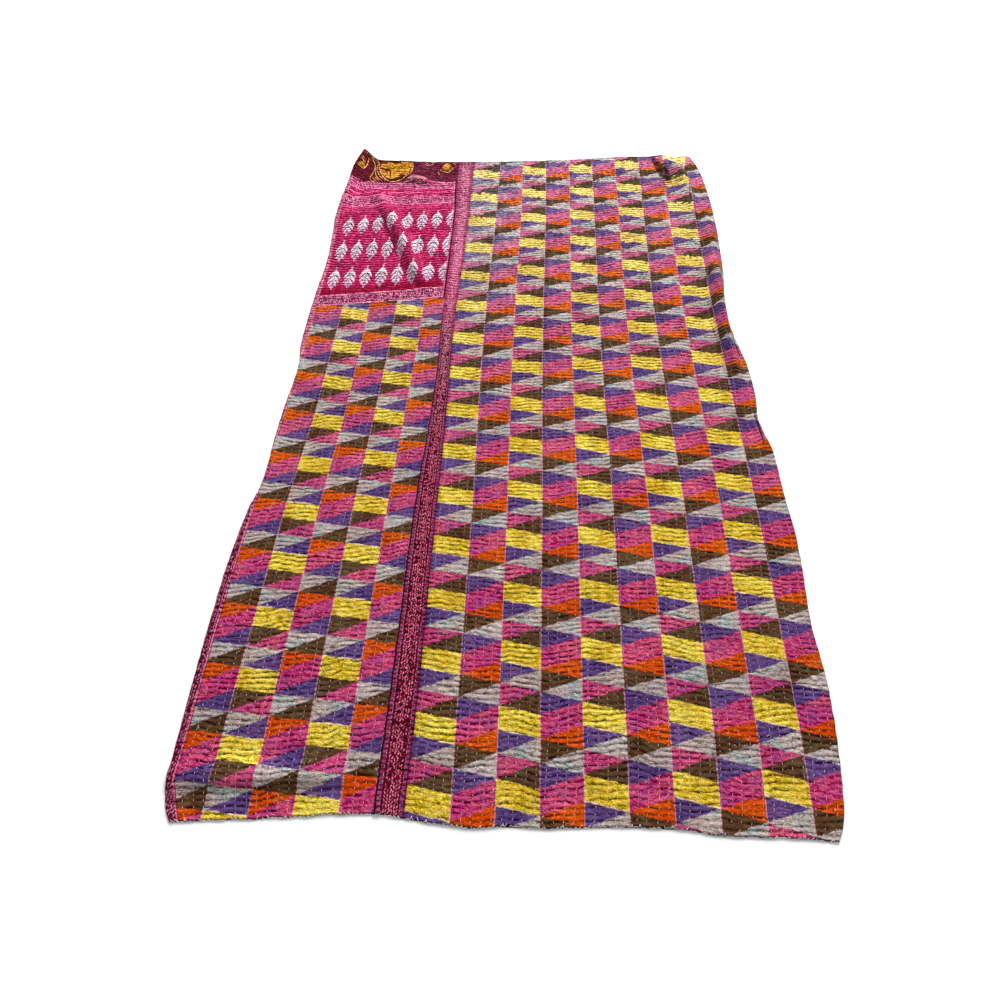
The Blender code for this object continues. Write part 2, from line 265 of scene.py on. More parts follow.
def smooth_read(table, at, value, place):
    """Reads column value of a table at places along its other column, on a smooth curve."""
    spots = np.array([getattr(row, at) for row in table], float)
    values = np.array([getattr(row, value) for row in table], float)
    slopes = np.gradient(values)
    slopes[1:-1] = (values[2:] - values[:-2]) / (spots[2:] - spots[:-2])
    slopes[0] = (values[1] - values[0]) / (spots[1] - spots[0])
    slopes[-1] = (values[-1] - values[-2]) / (spots[-1] - spots[-2])
    place = np.clip(place, spots[0], spots[-1])
    k = np.clip(np.searchsorted(spots, place, side="right") - 1, 0, len(spots) - 2)
    width = spots[k + 1] - spots[k]
    t = (place - spots[k]) / width
    return smooth_between(t, width, values[k], slopes[k], values[k + 1], slopes[k + 1])


def side_at(table, y):
    """x of a side, which the ends of the ripples leave a little uneven."""
    uneven = drift(y, 0 * y + table[0].x, wide=14, tall=1, seed=31)
    return smooth_read(table, "y", "x", y) + SIDE_UNEVEN * uneven


def end_at(table, x):
    """y of an end, which the rows of stitches leave a little uneven."""
    uneven = drift(x, 0 * x + table[0].y, wide=24, tall=1, seed=32)
    return smooth_read(table, "x", "y", x) + END_UNEVEN * uneven


def side_line(table, gap=0.0):
    return lambda y: side_at(table, y) + gap


def end_line(table, gap=0.0):
    return lambda x: end_at(table, x) + gap


left_side = side_line(LEFT_EDGE)
right_side = side_line(RIGHT_EDGE)
lap_side = side_line(LAP_EDGE)
under_lap = side_line(LAP_EDGE, LAP)
field_side = side_line(FIELD_EDGE)


def knot_number(table, knots, row_place, place):
    """Which of the numbers is reached at a place, between rows and numbers in proportion."""
    rows = np.array(table, float)
    knots = np.array(knots, float)
    i = np.clip(np.searchsorted(rows[:, 0], row_place) - 1, 0, len(rows) - 2)
    t = (row_place - rows[i, 0]) / (rows[i + 1, 0] - rows[i, 0])
    places = rows[i, 1:] * (1 - t)[..., None] + rows[i + 1, 1:] * t[..., None]
    j = np.clip((place[..., None] >= places).sum(-1) - 1, 0, len(knots) - 2)[..., None]
    low = np.take_along_axis(places, j, -1)[..., 0]
    high = np.take_along_axis(places, j + 1, -1)[..., 0]
    j = j[..., 0]
    return knots[j] + (place - low) / (high - low) * (knots[j + 1] - knots[j])


def ramp(value, low=0.0, high=1.0):
    """0 below low and 1 above high, on a soft curve between."""
    t = np.clip((value - low) / (high - low), 0.0, 1.0)
    return t * t * (3 - 2 * t)


def drift(x, y, wide, tall, seed):
    """A slow wandering value from -1 to 1, with bumps about that wide and tall."""
    table = np.random.default_rng(seed).uniform(-1, 1, (512, 512))
    across, along = x / wide + 200.0, y / tall + 200.0
    i, j = np.floor(across).astype(int), np.floor(along).astype(int)
    s, t = ramp(across - i), ramp(along - j)
    corners = [table[(i + a) % 512, (j + b) % 512] for a in (0, 1) for b in (0, 1)]
    near = corners[0] * (1 - t) + corners[1] * t
    far = corners[2] * (1 - t) + corners[3] * t
    return near * (1 - s) + far * s


# ---------------------------------------------------------------- the surface it lies in
def fold_height(crests, x, y):
    """Height of one fold: its crest line's height, falling off to either side."""
    best = np.zeros_like(x)
    for a, b in zip(crests, crests[1:]):
        run_x, run_y = b.x - a.x, b.y - a.y
        t = ((x - a.x) * run_x + (y - a.y) * run_y) / (run_x**2 + run_y**2)
        t = np.clip(t, 0.0, 1.0)
        off_x, off_y = x - a.x - t * run_x, y - a.y - t * run_y
        on_left = run_x * off_y - run_y * off_x > 0
        reach = np.where(on_left, a.left + t * (b.left - a.left), a.right + t * (b.right - a.right))
        share = np.minimum(np.hypot(off_x, off_y) / reach, 1.0)
        height = a.height + t * (b.height - a.height)
        best = np.maximum(best, height * np.cos(share * math.pi / 2) ** 2)
    return best


def off_pinch(x, y):
    """How far to the right of the line of the narrow creases a place is."""
    return x - smooth_read(PINCHES, "y", "x", y)


def pinched(x, y):
    """1 along a narrow crease of the printed cloth, 0 away from it."""
    deep = np.clip(smooth_read(PINCHES, "y", "deep", y), 0.0, 1.0)
    return deep * np.exp(-((off_pinch(x, y) / PINCH_WIDTH) ** 2))


def by_the_lap(x, y):
    """0 where the border laps over the left panel and 1 away from it."""
    off = x - lap_side(y) - LAP / 2
    return ramp((np.abs(off) - LAP) / LIP_SLOPE)


def underside(x, y):
    """Height of the cloth's under face above the floor."""
    return by_the_lap(x, y) * np.max([fold_height(c, x, y) for c in FOLDS.values()], axis=0)


def swell(x, y):
    """The slow unevenness of a cloth that isn't pulled flat, from -1 to 1."""
    total = np.zeros_like(x)
    for s in SWELLS:
        turn = 2 * math.pi * (y / s.along + np.sin(2 * math.pi * x / s.across + s.lean) / 3)
        total += s.share * np.sin(turn + s.lean)
    return total * by_the_lap(x, y)


def upright_thickness(x, y):
    """Thickness measured straight up, which is more where the cloth lies on a slope."""
    reach = 4.0
    rise_x = (underside(x + reach, y) - underside(x - reach, y)) / (2 * reach)
    rise_y = (underside(x, y + reach) - underside(x, y - reach)) / (2 * reach)
    return CLOTH * np.minimum(np.sqrt(1 + rise_x**2 + rise_y**2), STEEPEST)


def turned_share(off):
    """The round back of a turned-under edge: none at its foot, full on top, none inside."""
    return ramp(off, -3, 6) * (1 - ramp(off, 8, 30))


def rounded(off, radius=ROUNDING):
    """Share of the thickness that is left near an edge with a round turn."""
    t = np.clip(off / radius, 0.0, 1.0)
    return 0.2 + 0.8 * np.sqrt(1 - (1 - t) ** 2)


# ---------------------------------------------------------------- ripples of the stitching
def wander(x, y, share):
    """How far, in ripples, a puckered trough strays from its even place.  None at the ends."""
    stray = 0.7 * drift(x, y, wide=95, tall=190, seed=11)
    stray += 0.3 * drift(x, y, wide=38, tall=70, seed=12)
    stray += 0.2 * drift(x, y, wide=19, tall=26, seed=13)
    return stray * ramp(share * 40) * ramp((1 - share) * 40)


def ripple_depth(x, y):
    """How deep a trough is here: it comes and goes along the trough."""
    depth = 0.66 + 0.75 * drift(x, y, wide=27, tall=12, seed=21)
    depth += 0.2 * drift(x, y, wide=140, tall=110, seed=22)
    return np.clip(depth, 0.05, 1.2)


def ripples(x, y, phase, row):
    """Height of the puckers, drawn down a little along each row of stitches."""
    puff = (0.5 - 0.5 * np.cos(2 * math.pi * phase)) ** 0.8
    furrow = np.exp(-(((row % 1.0) - 0.5) * ROW_PITCH / FURROW_WIDTH) ** 2)
    height = RIPPLE_HEIGHT * (1 + HEAD_RISE * ramp(y, -300, 900))
    height = height * ripple_depth(x, y) * (puff - RIPPLE_MIDDLE) * (1 - 0.2 * furrow)
    return height - FURROW_DEPTH * furrow


# ---------------------------------------------------------------- cloths as grids of points
def between(left, right, shares, offsets):
    """Columns of points at shares of the way from one side to another, plus offsets in mm."""
    shares, offsets = np.array(shares), np.array(offsets)

    def column(y):
        return left(y) + shares * (right(y) - left(y)) + offsets

    return column


def calm(off):
    """Ripples die out close to a free edge."""
    return 0.3 + 0.7 * ramp(off / 7.0)


def off_foot(x, y):
    return y - end_at(FOOT_EDGE, x)


def off_head(x, y):
    return end_at(HEAD_EDGE, x) - y


# How much of its thickness each cloth has near its edges, and how much of its ripples.
def seamed_edges(x, y, end, seam):
    side = x - left_side(y)
    shape = np.minimum(rounded(side), rounded(end)) * (0.45 + 0.55 * rounded(seam, SEAM_ROUNDING))
    lapped = 1 - ramp(x - lap_side(y), -6, 2)
    return shape, calm(np.minimum(side, end)) * calm(seam) * lapped


def left_edges(x, y):
    return seamed_edges(x, y, off_foot(x, y), end_at(PATCH_EDGE, x) - y)


def patch_edges(x, y):
    return seamed_edges(x, y, off_head(x, y), y - end_at(PATCH_EDGE, x))


def border_edges(x, y):
    lap, ends = x - lap_side(y), np.minimum(off_foot(x, y), off_head(x, y))
    shape = np.minimum(rounded(lap, LAP_ROUNDING), rounded(ends))
    return shape, calm(ends) * (0.5 + 0.5 * ramp(lap / 16))


def right_edges(x, y):
    side, ends = right_side(y) - x, np.minimum(off_foot(x, y), off_head(x, y))
    return np.minimum(rounded(side), rounded(ends)), calm(np.minimum(side, ends))


# The three numbers that each cloth's print is drawn from.  Only the right one needs extra, which
# is how much further the cloth runs across its folds than the plan shows.
def print_on_left(x, y, _extra):
    column = knot_number(LEFT_COLUMN_PLACES, LEFT_COLUMNS, y, x)
    repeat = knot_number(LEFT_REPEAT_PLACES, LEFT_REPEATS, x, y)
    band = FIRST_BAND + BANDS_PER_REPEAT * repeat
    return -column, band, knot_number(END_BAND_PLACES, BANDS, x, y)


def print_on_right(x, y, extra):
    column = knot_number(RIGHT_COLUMN_PLACES, RIGHT_COLUMNS, y, x) + extra / COLUMN_WIDTH
    repeat = knot_number(RIGHT_REPEAT_PLACES, RIGHT_REPEATS, x, y)
    # No other column begins beside the border.
    column = np.maximum(column, 0.03)
    return column, FIRST_BAND - BANDS_PER_REPEAT * repeat, off_pinch(x, y)


def print_on_border(x, y, _extra):
    return (x - lap_side(y)) / (field_side(y) - lap_side(y)), 0 * x, 0 * x


def print_on_patch(x, y, _extra):
    return (x - PATCH_CORNER[0]) / 100.0, (y - PATCH_CORNER[1]) / 100.0, 0 * x


def side_of_left(x, y):
    """How far a place is inside the speckled side border of the left panel."""
    return x - side_at(LEFT_FIELD_EDGE, y)


def side_of_right(x, y):
    return right_side(y) - x


def from_foot(phase):
    return phase


def from_head(phase):
    return HEAD_RIPPLES - phase


def from_either_end(phase):
    return np.minimum(phase, RIPPLES - phase)


# near_left and near_right are the fine columns in the round turn of a side, in mm from it.  under
# are the columns that the under face has too, and it has its own where there are none.  border
# is how far a place is from a side, and ends how many ripples it is from a turned end.
Cloth = namedtuple(
    "Cloth", "name left right near_left near_right columns under low high ripples rows lapped"
    " edges printed border ends"
)
CLOTHS = (
    Cloth("left_cloth", left_side, under_lap, (0, 0.7, 1.9, 4), (0,), 78, range(0, 82, 3),
          end_line(FOOT_EDGE), end_line(PATCH_EDGE, -SEAM / 2), LEFT_RIPPLES, 20, False,
          left_edges, print_on_left, side_of_left, from_foot),
    Cloth("head_cloth", left_side, under_lap, (0, 0.7, 1.9, 4), (0,), 78, range(0, 82, 3),
          end_line(PATCH_EDGE, SEAM / 2), end_line(HEAD_EDGE), HEAD_RIPPLES, 20, False,
          patch_edges, print_on_patch, side_of_left, from_head),
    Cloth("border_cloth", lap_side, field_side, (0, 0.5, 1.4), (0,), 18, (),
          end_line(FOOT_EDGE), end_line(HEAD_EDGE), RIPPLES, 3, True,
          border_edges, print_on_border, side_of_left, from_either_end),
    Cloth("right_cloth", field_side, right_side, (0,), (4, 1.9, 0.7, 0), 110,
          (*range(0, 96, 8), *range(96, 114, 2)),
          end_line(FOOT_EDGE), end_line(HEAD_EDGE), RIPPLES, 42, True,
          right_edges, print_on_right, side_of_right, from_either_end),
)


def columns_of(cloth):
    """Even columns between the two sides, with finer ones in the round turn of a free edge."""
    a, b = cloth.near_left[-1], -cloth.near_right[0]
    shares = np.linspace(0.0, 1.0, cloth.columns + 1)
    inner = a * (1 - shares) + b * shares
    return between(
        cloth.left,
        cloth.right,
        [*[0] * (len(cloth.near_left) - 1), *shares, *[1] * (len(cloth.near_right) - 1)],
        [*cloth.near_left[:-1], *inner, *[-v for v in cloth.near_right[1:]]],
    )


def rows_at(cloth, x, y):
    """The number of the row of stitches, with whole numbers half way between two rows."""
    low, high = cloth.left(y) + cloth.near_left[-1], cloth.right(y) - cloth.near_right[0]
    return (x - low) / (high - low) * cloth.rows


def cross_lines(cloth):
    """Phases of the cross lines: even ones, with finer ones in the round turns at the ends."""
    pitch = (cloth.high(0.0) - cloth.low(0.0)) / cloth.ripples
    lines = np.arange(0, cloth.ripples * PER_RIPPLE + 1) / PER_RIPPLE
    fine = np.array([0.8, 1.8]) / pitch
    return np.sort(np.concatenate([lines, fine, cloth.ripples - fine]))


def over_points(cloth):
    """x, y of the upper face: its cross lines follow the troughs and crests of the ripples."""
    column = columns_of(cloth)
    phase = cross_lines(cloth)[:, None]
    share = phase / cloth.ripples + 0 * column(np.zeros((1, 1)))
    y = cloth.low(0.0) + share * (cloth.high(0.0) - cloth.low(0.0))
    for _ in range(SETTLING_ROUNDS):
        x = column(y)
        share = np.clip((phase - wander(x, y, share)) / cloth.ripples, 0.0, 1.0)
        y = cloth.low(x) + share * (cloth.high(x) - cloth.low(x))
    return column(y), y, phase + 0 * y


def under_points(cloth, x, y):
    """x, y of the coarser under face, with the same outline."""
    lines = np.unique(np.append(np.arange(0, len(x), PER_UNDER_LINE), len(x) - 1))
    if len(cloth.under):
        return x[lines][:, list(cloth.under)], y[lines][:, list(cloth.under)]
    # The border's under face steps down where the left panel's edge ends below it.
    column = between(cloth.left, cloth.right, [0, 0, 0, 0.45, 1], [0, LAP, LAP + 1.5, 0, 0])
    across = column(y[lines][:, :1])
    high = np.array([np.interp(a, b, c) for a, b, c in zip(across, x[lines], y[lines])])
    return column(high), high


def lap_floor(cloth, x, y):
    """How high a lapped cloth's under face lies over the left panel's edge, and 0 beyond it."""
    over_left = (x - lap_side(y) < LAP + 1) & cloth.lapped
    return np.where(over_left, CLOTH + SLACK, 0.0)


def cotton_sheet(cloth):
    """The closed mesh of one cloth, with the facts its print needs.  Also its upper points."""
    x, y, phase = over_points(cloth)
    low = underside(x, y)
    thick = upright_thickness(x, y) + HOLLOW * swell(x, y)
    thick += smooth_read(LEFT_EDGE, "y", "rim", y) * turned_share(x - left_side(y))
    thick += smooth_read(RIGHT_EDGE, "y", "rim", y) * turned_share(right_side(y) - x)
    if cloth.lapped:
        thick += (SLACK + LIP) * (1 - ramp(x - lap_side(y), LAP, LIP_SLOPE))
    floor = lap_floor(cloth, x, y)
    shape, calmness = cloth.edges(x, y)
    thick += ripples(x, y, phase, rows_at(cloth, x, y)) * calmness - PINCH_DEPTH * pinched(x, y)
    over = np.stack([x, y, low + floor + (thick - floor) * shape], -1)
    x_u, y_u = under_points(cloth, x, y)
    under = np.stack([x_u, y_u, underside(x_u, y_u) + lap_floor(cloth, x_u, y_u)], -1)
    extra = stretched(x, low)
    all_x, all_y, all_extra, all_phase = (
        np.concatenate([a.ravel(), b.ravel()])
        for a, b in ((x, x_u), (y, y_u), (extra, 0 * x_u), (phase, 0 * x_u))
    )
    flat = 0 * all_x
    facts = {
        "cloth": np.stack([all_x + all_extra, all_y, flat], -1) * MM,
        "print": np.stack(cloth.printed(all_x, all_y, all_extra), -1),
        "ripple": np.stack(
            [all_phase, ripple_depth(all_x, all_y), rows_at(cloth, all_x, all_y)], -1
        ),
        "edge": np.stack([
            cloth.border(all_x, all_y), all_x - lap_side(all_y), cloth.ends(all_phase),
        ], -1),
    }
    ripple = facts["ripple"][: x.size].reshape(*x.shape, 3)
    return cloth_mesh(cloth.name, over, under, facts), over, ripple


def stretched(x, z):
    """How much further the cloth runs across the folds than the plan shows, in mm."""
    steps = np.hypot(np.diff(x, axis=1), np.diff(z, axis=1)) - np.abs(np.diff(x, axis=1))
    return np.concatenate([np.zeros((len(x), 1)), np.cumsum(steps, axis=1)], axis=1)


def zip_loops(low, high, points):
    """Triangles between two lines of points that run the same way, by the shorter diagonal."""
    made, i, j = [], 0, 0
    while i < len(low) - 1 or j < len(high) - 1:
        step_low = j == len(high) - 1
        if i < len(low) - 1 and j < len(high) - 1:
            rise_low = np.sum((points[low[i + 1]] - points[high[j]]) ** 2)
            rise_high = np.sum((points[low[i]] - points[high[j + 1]]) ** 2)
            step_low = rise_low <= rise_high
        if step_low:
            made.append((low[i], low[i + 1], high[j]))
            i += 1
        else:
            made.append((low[i], high[j + 1], high[j]))
            j += 1
    return made


def rim_lines(numbers):
    """The four sides of a grid of point numbers, running anticlockwise from above."""
    return numbers[0], numbers[:, -1], numbers[-1, ::-1], numbers[::-1, 0]


def cells(numbers):
    """The four corners of every cell of a grid of point numbers."""
    corners = numbers[:-1, :-1], numbers[:-1, 1:], numbers[1:, 1:], numbers[1:, :-1]
    return np.stack(corners, -1).reshape(-1, 4)


def placed(name, data):
    """A new object in the scene."""
    made = bpy.data.objects.new(name, data)
    bpy.context.scene.collection.objects.link(made)
    return made


def joined_mesh(name, points, faces):
    """A smooth piece from points in mm and arrays of faces of three or four corners."""
    mesh = bpy.data.meshes.new(name)
    mesh.vertices.add(len(points))
    mesh.vertices.foreach_set("co", (points * MM).astype(np.float32).ravel())
    corners = np.concatenate([f.ravel() for f in faces])
    sizes = np.concatenate([np.full(len(f), f.shape[1]) for f in faces])
    mesh.loops.add(len(corners))
    mesh.loops.foreach_set("vertex_index", corners.astype(np.int32))
    mesh.polygons.add(len(sizes))
    mesh.polygons.foreach_set("loop_start", (np.cumsum(sizes) - sizes).astype(np.int32))
    mesh.update(calc_edges=True)
    mesh.validate()
    mesh.polygons.foreach_set("use_smooth", np.ones(len(sizes), bool))
    return placed(name, mesh), corners


def carry(piece, facts):
    """Stores named facts, three numbers each, at the points of a piece."""
    for fact, values in facts.items():
        attribute = piece.data.attributes.new(fact, "FLOAT_VECTOR", "POINT")
        attribute.data.foreach_set("vector", values.astype(np.float32).ravel())


def cloth_mesh(name, over, under, facts):
    """A closed cloth from its upper and under faces, with its facts."""
    points = np.concatenate([over.reshape(-1, 3), under.reshape(-1, 3)])
    high = np.arange(over.shape[0] * over.shape[1]).reshape(over.shape[:2])
    low = np.arange(under.shape[0] * under.shape[1]).reshape(under.shape[:2]) + high.size
    walls = []
    for a, b in zip(rim_lines(low), rim_lines(high)):
        walls += zip_loops(list(a), list(b), points)
    faces = [cells(high), cells(low)[:, ::-1], np.array(walls)]
    piece, corners = joined_mesh(name, points, faces)
    carry(piece, facts)
    # A flat layout for its painted copy: the upper face, and beside it the under face and walls.
    length = np.ptp(points[:, 1]) * 1.02
    place = (points[corners, :2] - points[:, :2].min(0)) / length + 0.005
    on_top = np.arange(len(corners)) < faces[0].size
    place[~on_top, 0] += np.ptp(points[:, 0]) / length + 0.02
    layer = piece.data.uv_layers.new(name="OFBake")
    layer.data.foreach_set("uv", place.astype(np.float32).ravel())
    return piece


# ---------------------------------------------------------------- threads
def at_grid(over, line, column):
    """Points of a cloth's upper face at any place between its lines and columns."""
    i = np.clip(np.floor(line).astype(int), 0, over.shape[0] - 2)
    j = np.clip(np.floor(column).astype(int), 0, over.shape[1] - 2)
    s, t = (line - i)[:, None], (column - j)[:, None]
    near = over[i, j] * (1 - t) + over[i, j + 1] * t
    far = over[i + 1, j] * (1 - t) + over[i + 1, j + 1] * t
    return near * (1 - s) + far * s


def threads(name, path, side, up, width, rise):
    """Short flattened lengths of thread.  path is (stitches, stations, 3), side and up unit."""
    count, stations = path.shape[:2]
    # Thin at both ends, and a flat-bottomed section of four corners.
    fullness = np.sin(np.linspace(0.12, math.pi - 0.12, stations))[None, :, None]
    half, lift = side * width / 2, up * rise
    section = [(-1.0, -0.4), (-0.62, 0.75), (0.62, 0.75), (1.0, -0.4)]
    rings = [
        path + half * across * fullness**0.5 + lift * high * fullness for across, high in section
    ]
    points = np.stack(rings, 2)
    first = (np.arange(count) * stations * 4)[:, None, None]
    ring = (np.arange(stations - 1) * 4)[None, :, None]
    turn = np.array([[0, 1, 5, 4], [1, 2, 6, 5], [2, 3, 7, 6], [3, 0, 4, 7]])
    quads = (first + ring)[..., None] + turn[None, None]
    caps = np.array([[3, 2, 1, 0], np.arange(4) + 4 * (stations - 1)])
    faces = [quads.reshape(-1, 4)[:, ::-1], (first + caps[None]).reshape(-1, 4)[:, ::-1]]
    return joined_mesh(name, points.reshape(-1, 3), faces)[0]


def unit(vectors):
    return vectors / np.linalg.norm(vectors, axis=-1, keepdims=True)


def running_stitches(cloth, over, seed):
    """The rows of running stitch: a short thread lies in each trough that it has drawn up."""
    chance = np.random.default_rng(seed)
    rows = (np.arange(cloth.rows) + 0.5) / cloth.rows * cloth.columns + len(cloth.near_left) - 1
    troughs = np.arange(1, cloth.ripples) * PER_RIPPLE + 2.0
    line, column = (a.ravel() for a in np.meshgrid(troughs, rows))
    kept = chance.random(len(line)) > 0.1  # one in ten has sunk in or worn away
    line, column = line[kept], column[kept]
    # No row runs quite straight.
    line += chance.uniform(-0.35, 0.35, len(line))
    column += chance.uniform(-0.05, 0.05, len(line)) + 0.12 * np.sin(line / 23 + column)
    reach = chance.uniform(0.55, 0.95, len(line))
    tilt = chance.uniform(-0.1, 0.1, len(line))
    stations = [at_grid(over, line + reach * t, column + tilt * t) for t in (-1, 0, 1)]
    path = np.stack(stations, 1)
    # The thread doesn't dip in between its ends.
    path[:, 1, 2] = np.maximum(path[:, 1, 2], (path[:, 0, 2] + path[:, 2, 2]) / 2 - 0.3)
    across = unit(at_grid(over, line, column + 0.5) - at_grid(over, line, column - 0.5))
    along = unit(path[:, 2] - path[:, 0])
    up = unit(np.cross(across, along))
    return threads("stitches_of_" + cloth.name, path, across[:, None], up[:, None],
                   STITCH_WIDTH, STITCH_RISE)


def overcast_stitches(name, over, seed):
    """A thread that binds a turned end in an uneven zigzag over its rim, from below to on top."""
    chance = np.random.default_rng(seed)
    run = np.concatenate([[0.0], np.cumsum(np.linalg.norm(np.diff(over[3], axis=0), axis=-1))])
    nodes = np.arange(3.0, run[-1] - 3.0, OVERCAST_PITCH)
    nodes += chance.uniform(-0.42, 0.42, len(nodes)) * OVERCAST_PITCH
    reach = chance.uniform(1.4, 4.6, len(nodes)) * (np.arange(len(nodes)) % 2)
    kept = chance.random(len(nodes) - 1) > 0.16  # some lengths are worn away
    stations = []
    for share in (0.0, 0.25, 0.5, 0.75, 1.0):
        place = nodes[:-1] * (1 - share) + nodes[1:] * share
        line = reach[:-1] * (1 - share) + reach[1:] * share
        column = np.interp(place, run, np.arange(len(run)))
        point = at_grid(over, line, column)
        # It is drawn in halfway down the rim.
        high = point[:, 2] - underside(point[:, 0], point[:, 1])
        point[:, 2] -= np.clip(1 - line, 0, 1) * (high - 0.8) * 0.5
        stations.append(point)
    path = np.stack(stations, 1)[kept]
    # It lies just outside the cloth.
    outward = np.sign(over[0, 0, 1] - over[3, 0, 1])
    path[..., 1] += outward * 0.35
    path[..., 2] += 0.25
    along = unit(np.gradient(path, axis=1))
    up = np.array([0.0, outward * 0.7, 0.7]) + 0 * path
    side = unit(np.cross(up, along))
    return threads(name, path, side, unit(np.cross(along, side)), STITCH_WIDTH, STITCH_RISE)


def stray_threads(cloth, over, count, seed):
    """Loose ends of thread and lint that lie curled on the cloth."""
    chance = np.random.default_rng(seed)
    line = chance.uniform(8, over.shape[0] - 9, count)
    column = chance.uniform(2, over.shape[1] - 3, count)
    turn, bend = chance.uniform(0, math.pi, count), chance.uniform(-1.6, 1.6, count)
    length = chance.uniform(2.0, 5.5, count)
    wide = np.abs(at_grid(over, line, column + 0.5)[:, 0] - at_grid(over, line, column - 0.5)[:, 0])
    spacing = 3.0  # mm between two cross lines
    stations = []
    for t in np.linspace(-1, 1, 7):
        aim = turn + bend * t
        off_x, off_y = np.cos(aim) * length * t, np.sin(aim) * length * t
        stations.append(at_grid(over, line + off_y / spacing, column + off_x / wide))
    path = np.stack(stations, 1)
    path[..., 2] += 0.3
    along = unit(np.gradient(path, axis=1))
    side = unit(np.cross(np.array([0.0, 0.0, 1.0]) + 0 * along, along))
    up = unit(np.cross(along, side))
    return threads("stray_threads_of_" + cloth.name, path, side, up, STRAY_WIDTH, STRAY_RISE)


# ---------------------------------------------------------------- printed paisleys
# Ordinary paisley curls, drawn for this cloth.  Places are x and y in mm on the head strip.
Stroke = namedtuple("Stroke", "width points")
BROWN_GROUNDS = (
    ((-684, 1117), (-673, 1064), (-677, 1012), (-672, 984), (-652, 973), (-590, 970), (-540, 976),
     (-506, 998), (-490, 1042), (-489, 1082), (-500, 1107), (-560, 1112), (-610, 1115),
     (-650, 1119)),
    ((-684, 1106), (-686, 1084), (-692, 1058), (-702, 1038), (-716, 1034), (-727, 1046),
     (-725, 1066), (-717, 1088), (-709, 1110), (-698, 1116)),
    ((-312, 1096), (-314, 1066), (-322, 1046), (-340, 1032), (-366, 1030), (-378, 1042),
     (-376, 1062), (-366, 1086), (-348, 1104), (-328, 1104)),
)
GOLD_MASSES = (
    ((-640, 1090), (-600, 1098), (-560, 1101), (-520, 1102), (-503, 1090), (-500, 1058),
     (-509, 1028), (-524, 1006), (-550, 998), (-590, 998), (-610, 1007), (-626, 1030),
     (-637, 1060)),
    ((-721, 1046), (-716, 1056), (-706, 1062), (-699, 1054), (-701, 1044), (-712, 1040)),
    ((-362, 1070), (-358, 1084), (-346, 1092), (-335, 1084), (-333, 1068), (-342, 1058),
     (-355, 1058)),
)
BROWN_MASSES = (
    ((-602, 1112), (-590, 1098), (-572, 1088), (-557, 1094), (-548, 1109), (-572, 1112)),
    ((-554, 1008), (-541, 1024), (-527, 1018), (-523, 1002), (-538, 992), (-558, 993)),
    ((-635, 1067), (-616, 1060), (-597, 1058), (-590, 1040), (-600, 1040), (-618, 1047),
     (-633, 1053)),
    ((-652, 1096), (-640, 1102), (-622, 1106), (-632, 1092), (-644, 1084)),
)
# Nested outlines, and the lines that fan out at their narrow end.
APRICOT_STROKES = table_of(
    Stroke,
    (4.6, ((-680, 1115), (-660, 1108), (-649, 1096), (-644, 1068), (-632, 1035),
           (-613, 1001), (-590, 979), (-566, 974), (-543, 981), (-524, 991), (-509, 1011),
           (-498, 1047), (-496, 1077), (-504, 1105))),
    (3.4, ((-650, 1090), (-652, 1062), (-642, 1030), (-624, 1000), (-603, 980))),
    (3.2, ((-638, 1070), (-627, 1039), (-609, 1015), (-590, 996), (-573, 994),
           (-554, 1003), (-540, 1012))),
    (3.6, ((-680, 1114), (-664, 1084), (-660, 1052), (-667, 1016), (-671, 996),
           (-662, 980), (-640, 975))),
    (3.0, ((-664, 1080), (-657, 1048), (-651, 1022), (-640, 1000), (-618, 977))),
    (2.8, ((-662, 1000), (-652, 990), (-643, 979))),
    (2.8, ((-653, 1006), (-643, 994), (-630, 980))),
    (3.0, ((-530, 1044), (-522, 1050), (-513, 1042), (-513, 1026), (-521, 1016),
           (-530, 1020))),
    (3.0, ((-573, 1050), (-558, 1072), (-541, 1088), (-530, 1101))),
    (2.8, ((-600, 1100), (-612, 1094), (-617, 1084), (-609, 1078), (-602, 1086))),
    (3.0, ((-688, 1103), (-691, 1078), (-697, 1052), (-705, 1039), (-716, 1038),
           (-726, 1048))),
    (2.8, ((-711, 1096), (-705, 1084), (-699, 1070))),
    (2.6, ((-713, 1084), (-706, 1073), (-698, 1062))),
    (2.6, ((-704, 1120), (-699, 1114), (-693, 1118))),
    (3.2, ((-344, 1096), (-360, 1082), (-365, 1065), (-356, 1052), (-341, 1050),
           (-330, 1057), (-325, 1071))),
    (3.6, ((-369, 1056), (-374, 1046), (-365, 1043), (-355, 1037), (-343, 1035),
           (-332, 1041), (-325, 1052), (-318, 1064), (-311, 1070))),
    (2.8, ((-371, 1046), (-380, 1036), (-380, 1026), (-372, 1017))),
    (2.8, ((-324, 1098), (-318, 1092), (-312, 1085))),
    (2.8, ((-424, 1107), (-413, 1101), (-412, 1090), (-423, 1083), (-440, 1083),
           (-452, 1092))),
    (2.4, ((-430, 1100), (-438, 1094), (-446, 1100))),
)
